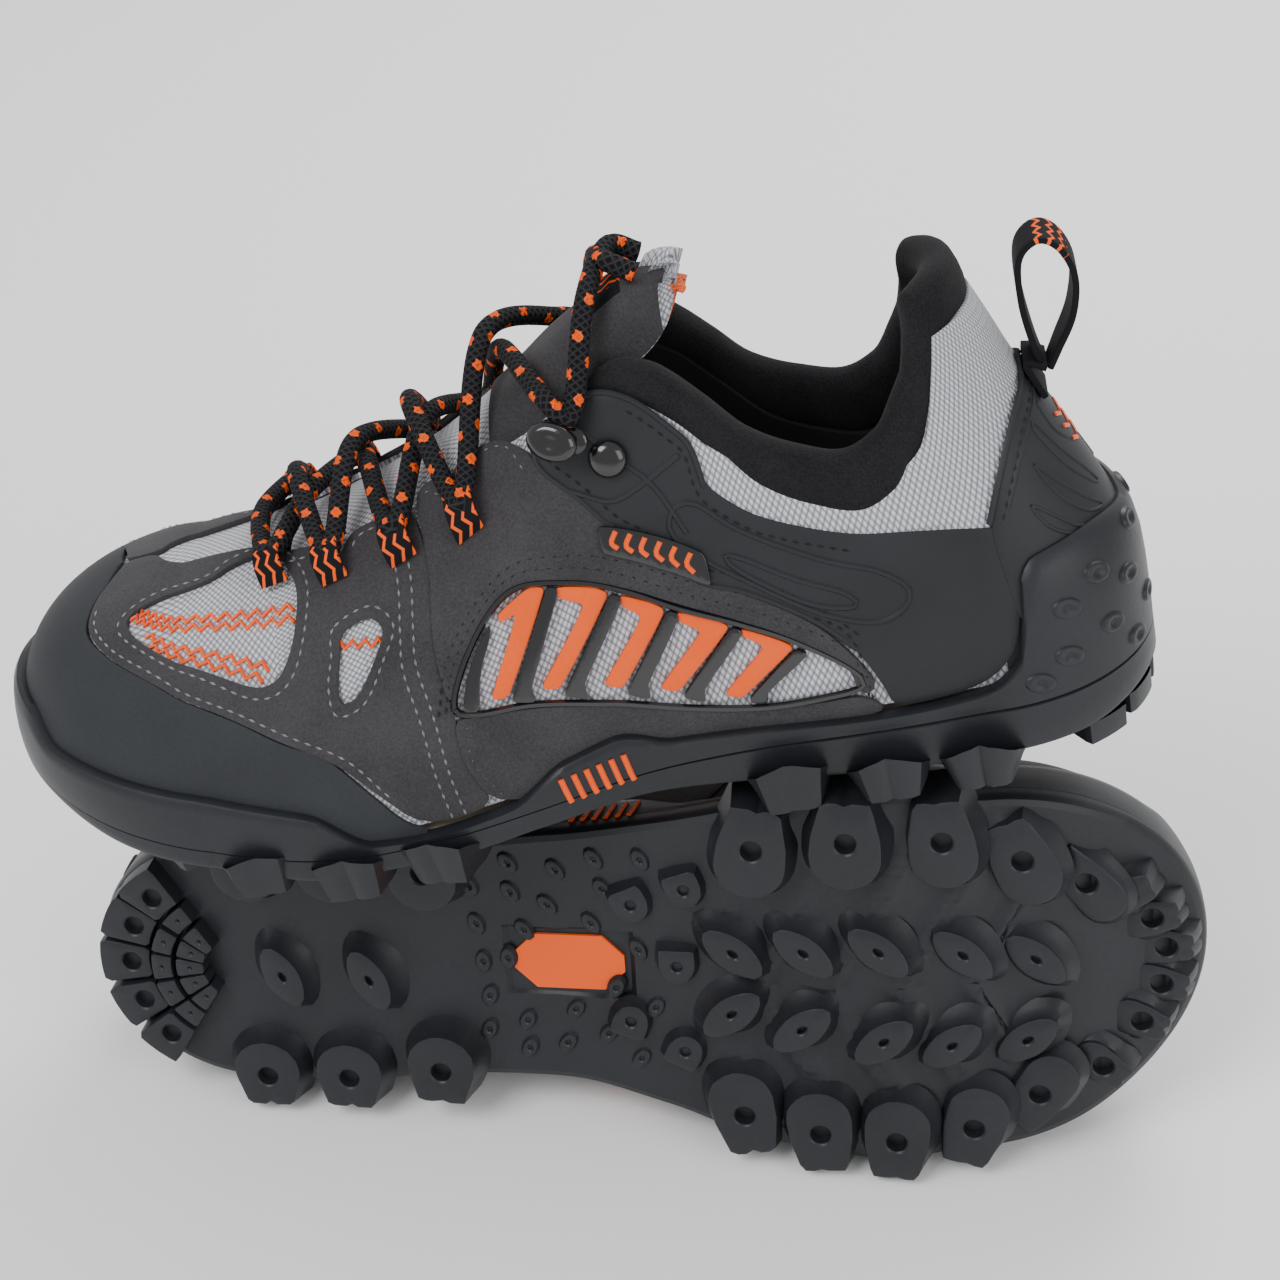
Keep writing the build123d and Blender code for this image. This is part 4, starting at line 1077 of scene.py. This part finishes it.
# ---------------------------------------------------------------- heel pull loop
# Black webbing with an orange zigzag, folded in two.  Its tail is sewn down the back seam, and the
# loop above it folds back.
pull_points = [(17.2, 96), (19.0, 104), (20.5, 116), (19.6, 127), (14.5, 131.2), (9.5, 128), (6.8, 120),
               (8.5, 110), (13.0, 101), (15.6, 96)]
seam = lifted(wall_point, np.array([0.1, 0.1, 0.1]), np.array([0.345, 0.375, 0.405]),
              np.array([2.6, 2.8, 3.2]))
back_seam = [(spot[0], 0.0, spot[2]) for spot in seam]


def webbing_strip(name, points, taper):
    """Flat webbing 14 mm wide along a line in the middle plane of the shoe."""
    path = smooth_path(points, 1.2)
    run = np.concatenate([[0], np.cumsum(np.linalg.norm(np.diff(path, axis=0), axis=1))])
    across = np.linspace(-7, 7, 9)
    width = np.clip(np.minimum(run, run[-1] - run) / 18, 0, 1) * taper + 1 - taper
    grid = path[:, None] + np.stack([0 * across, across, 0 * across], axis=-1)[None] * width[:, None, None]
    weave = np.stack([np.tile(across, len(path)), np.repeat(run - 42, 9)], axis=-1)
    strip = mesh_piece(name, grid.reshape(-1, 3), grid_faces(len(path), 9), weave)
    use_modifier(strip, "SOLIDIFY", thickness=1.6 * MM, offset=0)
    use_modifier(strip, "BEVEL", width=0.4 * MM, segments=2, limit_method="ANGLE",
                 angle_limit=math.radians(50))
    return strip


finish_piece(webbing_strip("pull_loop", [(x, 0, z) for x, z in pull_points], 0.3), "loop", ["pull_loop"],
             webbing)
finish_piece(webbing_strip("pull_tail", back_seam + [(16.4, 0.0, 97.0)], 0.1), "shoe", [], webbing)

# ---------------------------------------------------------------- outsole
# One black rubber moulding: a wall that rises over toe and heel, a tread with claw-shaped lugs
# round its edge, oval lugs down the middle, and a fan of pads under the heel.
# Top edge of the rubber wall
RUBBER_LINE = smooth_curve(
    [0, 24, 39, 44, 47, 55, 79, 136, 152, 165, 182, 200, 217, 232, 253, 288, 300, 312, TOE_POINT],
    [0.17, 0.19, 0.185, 0.16, 0.06, 0.02, 0.012, 0.03, 0.065, 0.06, 0.012, 0.005, 0.012, 0.09, 0.115,
     0.145, 0.15, 0.23, 0.25],
)
SOLE_FLARE = 4.6
# Heights along the shoe of the tread between the lugs, and of the lug faces below it
TREAD_BASE = smooth_curve(
    [0, 20, 60, 100, 130, 160, 180, 215, 235, 256, 272, 290, 308],
    [11, 7, 6, 8, 10, 7.5, 6, 6, 9.5, 15, 20.5, 29.5, 38],
)
LUG_FLOOR = smooth_curve([0, 20, 40, 215, 235, 256, 272, 290, 305], [6, 1.5, 0, 0, 4, 10, 17, 27, 37])


def sole_rim(around, offset):
    """Plan outline of the sole, moved out from the feather edge."""
    spot = wall_point(around, 0 * around)[:, :2]
    ahead = wall_point(around + 0.5, 0 * around)[:, :2] - wall_point(around - 0.5, 0 * around)[:, :2]
    ahead /= np.linalg.norm(ahead, axis=1, keepdims=True) + 1e-9
    out = np.stack([-ahead[:, 1], ahead[:, 0]], axis=1)
    out *= np.sign(np.sum(out * (spot - [150.0, 0.0]), axis=1, keepdims=True))
    return spot + out * np.broadcast_to(offset, (len(around),))[:, None]


SOLE_STEPS = 420
sole_around = np.linspace(0.01, 2 * TOE_POINT, SOLE_STEPS, endpoint=False)
folded = np.where(sole_around > TOE_POINT, 2 * TOE_POINT - sole_around, sole_around)
rows = []
for offset, drop in ((SOLE_FLARE - 2.2, 0.0), (SOLE_FLARE - 0.6, 0.6), (SOLE_FLARE, 2.0)):
    rim = sole_rim(sole_around, offset)
    rows.append(np.column_stack([rim, TREAD_BASE(rim[:, 0]) + drop]))
for share in (0.45, 0.75, 0.86, 0.9, 0.94, 1.0):
    groove = 0.9 if share == 0.9 else 0.0
    rim = sole_rim(sole_around, SOLE_FLARE - groove)
    low, high = TREAD_BASE(rim[:, 0]) + 2.0, FEATHER_Z(rim[:, 0]) - 0.5
    rows.append(np.column_stack([rim, low + (np.maximum(high, low + 1) - low) * share]))
for share in (0.12, 0.3, 0.5, 0.7, 0.85, 0.95, 1.0):
    wall = SKIN_LIFT + RAND_WALL * (1.0 if share < 0.9 else 0.78 if share < 1 else 0.35)
    rows.append(lifted(wall_point, sole_around, RUBBER_LINE(folded) * share, wall))
rows.append(lifted(wall_point, sole_around, RUBBER_LINE(folded), 0.3))
sole_wall = mesh_piece("sole_wall", np.concatenate(rows),
                       grid_faces(len(rows), SOLE_STEPS, close_columns=True))

BOTTOM_ROWS = 44
INLAY_X, INLAY_Y, INLAY_FLOOR = 133, 2, 10.6      # recess for the eight-sided inlay
outer = sole_rim(sole_around, SOLE_FLARE - 2.2)
spine = np.column_stack([np.clip(outer[:, 0], HEEL_FAN_X, TOE_FAN_X), 0 * outer[:, 0]])
bottom = []
for share in np.linspace(0.0, 1.0, BOTTOM_ROWS):
    spot = spine + (outer - spine) * share
    x, y = spot[:, 0], spot[:, 1]
    chevron = np.abs(((x - 0.55 * np.abs(y)) / 19.5) % 1.0 - 0.5)
    forefoot = np.clip((x - 172) / 8, 0, 1) * np.clip((262 - x) / 10, 0, 1)
    relief = -2.0 * forefoot * (0.5 + 0.5 * np.cos(2 * np.pi * chevron)) ** 2 * np.clip((1 - share) / 0.12,
                                                                                        0, 1)
    relief = relief + 1.0 * forefoot * np.clip((0.04 - chevron) / 0.03, 0, 1) * np.clip((1 - share) / 0.08,
                                                                                        0, 1)
    level = TREAD_BASE(x) + relief
    inlay = (np.abs(x - INLAY_X) < 17.5) & (np.abs(y - INLAY_Y) < 10.5)
    bottom.append(np.column_stack([spot, np.where(inlay, np.maximum(level, INLAY_FLOOR), level)]))
sole_bottom = mesh_piece("sole_bottom", np.concatenate(bottom),
                         grid_faces(BOTTOM_ROWS, SOLE_STEPS, close_columns=True))


def lug_block(outline, hole, floor, base, wall=None, spread=2.2, edge=1.0, bore=2.9, depth=3.5, squeeze=1.0,
              count=36, tilt=0.0):
    """Lug with a bored hole: rings from the bottom of the hole out over the face to the foot."""
    turn = np.linspace(0, 2 * np.pi, count, endpoint=False)
    ray = np.column_stack([np.cos(turn), np.sin(turn)])
    hole = np.array(hole, dtype=float)
    reach = np.full(count, 1e9)
    outline = np.array(outline, dtype=float)
    for start, end in zip(outline, np.roll(outline, -1, axis=0)):
        run = end - start
        cross = ray[:, 0] * run[1] - ray[:, 1] * run[0]
        away = start - hole
        with np.errstate(divide="ignore", invalid="ignore"):
            far = (away[0] * run[1] - away[1] * run[0]) / cross
            share = (away[0] * ray[:, 1] - away[1] * ray[:, 0]) / cross
        hit = (far > 0) & (share >= -1e-6) & (share <= 1 + 1e-6) & (np.abs(cross) > 1e-9)
        reach = np.where(hit, np.minimum(reach, far), reach)
    bent = np.array([math.cos(tilt), math.sin(tilt)])
    pinch = 1 - (1 - squeeze) * np.abs(ray @ bent)
    rings = [(bore * 0.15 * pinch, floor + depth), (bore * 0.9 * pinch, floor + depth),
             (bore * pinch, floor + 0.4), (bore * pinch + 0.5, floor), (reach - edge, floor),
             (reach - edge * 0.25, floor + edge * 0.35), (reach, floor + edge * 1.3),
             (reach + spread * 0.5, floor + (base - floor) * 0.75), (reach + spread, base + 0.6)]
    points = []
    for radius, height in rings:
        spot = hole + ray * np.broadcast_to(radius, (count,))[:, None]
        level = np.broadcast_to(height, (count,)) + 0.0
        points.append(np.column_stack([spot, level]))
    if wall is not None:
        points[-1][:, 2] += np.clip(ray @ wall, 0, 1) ** 2 * 8.0
        points[-2][:, 2] += np.clip(ray @ wall, 0, 1) ** 2 * 3.0
    faces = grid_faces(len(points), count, close_columns=True)
    faces.append(tuple(range(count)))
    piece = mesh_piece("lug", np.concatenate(points), faces)
    return piece


def turned(shape, x, y, angle):
    """A small outline turned and moved to its place in the tread."""
    c, s = math.cos(angle), math.sin(angle)
    return [(x + u * c - v * s, y + u * s + v * c) for u, v in shape]


def claw(x, y, length, width, turn):
    """Edge lug: round inner end, flat notched outer end, widest at its middle."""
    outward = 1 if y > 0 else -1
    half, deep = length / 2 + 0.3, width / 2 + 0.8
    arc = [(half * math.sin(a), -deep + half * 0.95 - half * 0.95 * math.cos(a)) for a in
           np.linspace(-math.pi / 2, math.pi / 2, 9)]
    shape = arc + [(half * 0.96, deep * 0.25), (half * 0.68, deep + 1.2), (half * 0.16, deep + 1.4),
                   (0, deep + 0.2), (-half * 0.16, deep + 1.4), (-half * 0.68, deep + 1.2),
                   (-half * 0.96, deep * 0.25)]
    c, s = math.cos(math.radians(turn)), math.sin(math.radians(turn))
    points = turned([(u, v * outward) for u, v in shape], x, y, math.radians(turn))
    hole = (x - s * 1.5 * outward, y + c * 1.5 * outward)
    wall = np.array([-s * outward, c * outward])
    return lug_block(points, hole, float(LUG_FLOOR(x)), float(TREAD_BASE(x)), wall, spread=2.8)


EDGE_LUGS = [
    (46, 32.5, 19, 18, 0), (70, 33, 19, 18, 2), (96, 32, 19, 19, 4),
    (186, 42, 19, 24, -8), (211, 45, 19, 23, -2), (236, 44, 18, 23, 6), (257, 36, 17, 23, 24),
    (274, 26, 13, 22, 42),
    (45, -32.5, 19, 18, 0), (69, -32, 19, 18, -2), (96, -28.5, 19, 19, -4),
    (181, -38, 18, 24, 10), (202, -43, 18, 23, 4), (223, -45, 18, 23, -4), (244, -43, 17, 23, -14),
    (262, -35, 15, 23, -32),
]
CENTRE_LUGS = [
    (53, -1), (78, -1), (180, 12), (199, 13), (219, 14), (241, 11), (260, 7),
    (179, -7), (198, -11), (220, -14), (238, -17), (258, -18),
]
WAIST_LUGS = [(152, 23, 25), (167, 29, 20), (150, -14, -20), (165, -22, -25), (164, 5, 0)]
TOE_LUGS = [(283, 21), (290, 12), (294, 2), (293, -9), (288, -19), (278, -30)]
blocks = [claw(*lug) for lug in EDGE_LUGS]
for x, y in TOE_LUGS:
    blocks.append(claw(x - 1.0, y, 10.5, 14, math.degrees(math.atan2(y, x - 236)) - math.copysign(90, y)))
for x, y in CENTRE_LUGS:
    lean = math.radians(24 if x < 100 else (50 if y > 0 else -50))
    oval = [(5.3 * math.sin(a), 9.2 * math.cos(a) * (1 + 0.12 * math.cos(2 * a)))
            for a in np.linspace(0, 2 * np.pi, 18, endpoint=False)]
    blocks.append(lug_block(turned(oval, x, y, lean), (x, y), float(LUG_FLOOR(x)), float(TREAD_BASE(x)),
                            spread=4.0, bore=1.7, squeeze=0.55, depth=2.0, count=28, tilt=lean))
for x, y, lean in WAIST_LUGS:
    lean = math.radians(lean)
    shape = [(-5, 5.2), (5, 5.2), (5.2, 0)] + [(5 * math.cos(a), 5.5 * math.sin(a)) for a in
                                              np.linspace(-0.2, -math.pi + 0.2, 8)] + [(-5.2, 0)]
    outward = -1 if y > 0 else 1
    shape = [(u, -v * outward) for u, v in shape]
    blocks.append(lug_block(turned(shape, x, y, lean), (x, y), float(TREAD_BASE(x)) - 3.4,
                            float(TREAD_BASE(x)), spread=1.4, bore=1.5, depth=1.4, count=24))
OVALS = [(108, 14, 20), (109, 2, 0), (110, -9, -20), (118, 24, 30), (121, 12, 30), (120, -17, -25),
         (128, 20, 40), (116, 3, 0), (131, 31, 35), (140, 15, 35), (144, 26, 35), (134, -13, -35),
         (131, -24, -35), (146, -5, -25), (143, -20, -35), (153, 8, 25), (157, -10, -30), (118, 33, 35),
         (107, 26, 25), (120, -26, -25), (142, 35, 30), (109, -20, -25), (152, -27, -35), (155, 36, 25)]
for x, y, lean in OVALS:
    lean = math.radians(lean + 90)
    shape = [(3.4 * math.cos(a), 2.0 * math.sin(a)) for a in np.linspace(0, 2 * np.pi, 14, endpoint=False)]
    blocks.append(lug_block(turned(shape, x, y, lean), (x, y), float(TREAD_BASE(x)) - 1.1,
                            float(TREAD_BASE(x)), spread=0.7,
                            edge=0.4, bore=0.9, squeeze=0.6, depth=0.8, count=16, tilt=lean + math.pi / 2))


FAN_X = 38                 # centre of the heel fan


def fan_pad(inner, outer_edge, start, stop, hole):
    """Sector of the heel fan between two radii and two angles round the heel centre."""
    turns = np.radians(np.linspace(start, stop, 6))
    ring = []
    for a in turns:
        ring.append((FAN_X + inner * math.cos(a), inner * math.sin(a)))
    for a in turns[::-1]:
        far = outer_edge
        if outer_edge > 30:
            far = 36.5 / math.sqrt((math.cos(a) * 0.93) ** 2 + (math.sin(a) * 0.99) ** 2)
        ring.append((FAN_X + far * math.cos(a), far * math.sin(a)))
    middle = math.radians((start + stop) / 2)
    out = hole or (inner + outer_edge) / 2
    at = (FAN_X + out * math.cos(middle), out * math.sin(middle))
    floor = float(LUG_FLOOR(at[0])) + (0.4 if at[0] > 20 else -0.6)
    return lug_block(ring, at, floor, float(TREAD_BASE(at[0])), spread=0.35, edge=0.5,
                     bore=2.8 if hole else 0.3, depth=3.0 if hole else 0.02, count=32)


FAN_START, FAN_STEP, FAN_GROOVE = 122, 23.6, 2.6      # degrees round the centre of the fan
for k in range(5):
    first = FAN_START + k * FAN_STEP
    final = first + FAN_STEP - FAN_GROOVE
    blocks.append(fan_pad(24.5, 36, first, final, 30))
    blocks.append(fan_pad(17.5, 23.3, first, final, 0))
    blocks.append(fan_pad(8.0, 16.2, first, final, 0))
outsole = joined("outsole", [sole_wall, sole_bottom] + blocks)
face_out(outsole)
finish_piece(outsole, "shoe", ["outsole"], rubber, smooth=35)

# ---------------------------------------------------------------- stitching
# Polyester thread stands just proud of the overlays: grey inside the suede edges, black on the
# moulded panels, and broad orange zigzags across the toe mesh.
thread_grey = grained("thread_grey", (0.13, 0.13, 0.14), (0.26, 0.26, 0.28), 900, 60, 0.7, 0.02)
thread_black = grained("thread_black", (0.006, 0.006, 0.007), (0.02, 0.02, 0.022), 900, 60, 0.6, 0.02)


STITCH_LENGTH, STITCH_GAP, THREAD = 2.1, 1.0, 0.36      # thread is half its width


def stitches(points, lift, closed=False):
    """Row of low beads along a line on the upper."""
    length, gap, width = STITCH_LENGTH, STITCH_GAP, THREAD
    path = smooth_path(points, 0.5, closed)
    spots = lifted(wall_point, path[:, 0], path[:, 1] / 100, lift)
    normals = wall_normals(path)
    run = np.concatenate([[0], np.cumsum(np.linalg.norm(np.diff(spots, axis=0), axis=1))])
    verts, faces = [], []
    start = 0.0
    while start + length < run[-1]:
        ends = [np.array([np.interp(start + length * t, run, spots[:, k]) for k in range(3)]) for t in (0,
            0.5, 1)]
        normal = np.array([np.interp(start + length / 2, run, normals[:, k]) for k in range(3)])
        ahead = ends[2] - ends[0]
        side = np.cross(normal, ahead)
        side *= width / (np.linalg.norm(side) + 1e-9)
        base = len(verts)
        verts += [ends[0], ends[1] - side, ends[1] + normal * width * 1.1, ends[1] + side, ends[2]]
        faces += [(base, base + 1, base + 2), (base, base + 2, base + 3), (base + 4, base + 2, base + 1),
                  (base + 4, base + 3, base + 2), (base, base + 3, base + 4, base + 1)]
        start += length + gap
    return verts, faces


def stitch_piece(name, lines, material):
    verts, faces = [], []
    for points, lift, options in lines:
        for turn in (list, both_sides_of):
            more, corners = stitches(turn(points), lift, **options)
            base = len(verts)
            verts += more
            faces += [tuple(base + i for i in face) for face in corners]
    piece = mesh_piece(name, verts, faces)
    face_out(piece)
    finish_piece(piece, "shoe", [], material, smooth=80)


def shrunk(points, step):
    """The same closed outline a little further in (or out, with a negative step)."""
    loop = np.array(points, dtype=float)
    ahead = np.roll(loop, -1, axis=0) - np.roll(loop, 1, axis=0)
    side = np.column_stack([-ahead[:, 1], ahead[:, 0]])
    side /= np.linalg.norm(side, axis=1, keepdims=True) + 1e-9
    area = np.sum(loop[:, 0] * np.roll(loop[:, 1], -1) - np.roll(loop[:, 0], -1) * loop[:, 1])
    return [tuple(spot) for spot in loop + side * step * np.sign(area)]


edge_rows = [
    (shrunk(TOE_WINDOW, -2.4), 1.65, {"closed": True}),
    (shrunk(SMALL_WINDOW, -2.2), 1.65, {"closed": True}),
    ([(192.6, 2), (194, 12), (194.5, 24), (196, 36), (195, 44), (193.5, 55), (194, 68)], 1.65, {}),
    ([(196, 2), (197.4, 12), (198, 24), (199.5, 36), (198.5, 44), (197, 55), (197.5, 66)], 1.65, {}),
    ([(210, 10), (219, 21), (233, 29.5), (244, 36), (256, 42), (268, 50), (286, 57), (298, 62.5), (306, 70)],
     1.65, {}),
    ([(160, 60), (164, 69), (172, 73), (178, 72.5)], 1.9, {}),
    ([(183, 70.5), (186, 74), (189, 74)], 1.9, {}),
    ([(196, 73), (206, 75), (209.5, 70)], 1.65, {}),
    ([(219, 76.5), (231, 80), (236, 88)], 1.65, {}),
    ([(187, 20), (187.5, 12), (182, 3)], 1.65, {}),
]
dark_rows = [
    (shrunk(SIDE_WINDOW, -2.4)[0:11], 1.9, {}),
    (shrunk(SIDE_WINDOW, -4.4)[0:11], 1.9, {}),
    (shrunk(ANKLE_OUTLINE, 2.2)[6:15], 1.9, {}),
    (shrunk(ANKLE_OUTLINE, 2.2)[17:24], 1.9, {}),
    (shrunk(HEEL_OUTLINE, 2.3)[1:7], 2.05, {}),
]
stitch_piece("edge_stitches", edge_rows, thread_grey)
stitch_piece("dark_stitches", dark_rows, thread_black)


def zigzag(start, end, count, swing):
    start, end = np.array(start, dtype=float), np.array(end, dtype=float)
    run = end - start
    side = np.array([-run[1], run[0]]) / np.linalg.norm(run) * swing
    return [tuple(start + run * k / count + side * (1 if k % 2 else -1)) for k in range(count + 1)]


zig_pieces = []
ZIGZAGS = [((226, 60), (283, 70), 26, 1.3), ((226, 63.5), (282, 73), 26, 1.3),
           ((236, 45), (270, 60), 16, 1.2), ((234, 48), (272, 64), 18, 1.2), ((203, 44), (215, 48), 7, 1.0)]
for turn in (list, both_sides_of):
    for start, end, count, swing in ZIGZAGS:
        spots = np.array(turn(zigzag(start, end, count, swing)))
        centre = lifted(wall_point, spots[:, 0], spots[:, 1] / 100, 0.35)
        zig_pieces.append(tube("zigzag", centre, 0.62, 5, facing=wall_normals(spots)))
finish_piece(joined("toe_zigzags", zig_pieces), "shoe", [], orange_print)

# ---------------------------------------------------------------- labels
# Rubber flag on the outer side with raised plain chevrons, and a small woven label on the tongue.
FLAG = [(118.5, 27.6), (118.5, 22.6), (131, 28.0), (144.5, 35.0), (144.5, 40.0), (131, 33.2)]
flag = cut_sheet("flag_label", crisp(FLAG), lift=1.9, thickness=1.3, cell=1.0, rounds=1, soften=0.3)
finish_piece(flag, "shoe", ["flag_label"], gloss_black)
flag_marks = []
for k in range(6):
    foot = 122 + 3.6 * k
    base = float(np.interp(foot, [119.5, 131, 143.5], [24.6, 29.9, 36.4]))
    flag_marks.append(wall_tube("mark", [(foot, base + 2.6), (foot + 1.7, base + 1.3),
                                         (foot + 0.3, base - 0.2)],
                                0.66, 3.3, step=0.5))
finish_piece(joined("flag_marks", flag_marks), "shoe", [], orange_print)
tongue_tag = top_sheet("tongue_label", 118, 130, 0.15, tongue_lift(1.3), cell=1.0, rows=8)
use_modifier(tongue_tag, "SOLIDIFY", thickness=0.8 * MM, offset=1)
finish_piece(tongue_tag, "shoe", ["tongue_label"], webbing)

# ---------------------------------------------------------------- parts hidden inside
# Midsole foam, steel shank, boards, footbed, lining, stiffeners and the sole inlay keep their
# plain moulded or cut shapes and only get their finish.
foam_grey = grained("foam_grey", (0.05, 0.05, 0.055), (0.09, 0.09, 0.10), 800, 40, 0.85, 0.05)
black_lining = woven("black_lining", (0.004, 0.004, 0.005), (0.024, 0.024, 0.027), 2.2, 0.85, 0.35,
                     sheen=0.1)
steel = grained("shank_steel", (0.35, 0.35, 0.36), (0.5, 0.5, 0.52), 500, 30, 0.35, 0.01)
steel.node_tree.nodes["Principled BSDF"].inputs["Metallic"].default_value = 1.0
board = grained("insole_board", (0.35, 0.28, 0.2), (0.45, 0.37, 0.28), 600, 40, 0.9, 0.05)
FINISHES = {
    "sole_rubber": rubber, "orange_rubber": orange_print, "foam": foam_grey, "steel": steel, "board": board,
    "insole_cloth": black_lining, "silver_mesh": silver_mesh, "black_lining": black_lining,
    "black_knit": black_knit, "stiffener": moulded, "moulded_black": moulded, "toe_suede": toe_nubuck,
    "suede": suede, "rib_plastic": gloss_black, "orange_lining": orange_lining, "label": gloss_black,
    "webbing": webbing, "hook_plastic": gloss_black, "lace_cord": lace_cord,
}
for piece in bpy.data.objects:
    if piece.type != "MESH" or not piece.name.startswith(("right_", "left_")):
        continue
    for place in piece.material_slots:
        if place.material and place.material not in FINISHES.values():
            finish = FINISHES.get(place.material.name.split(".")[0])
            place.material = finish or place.material
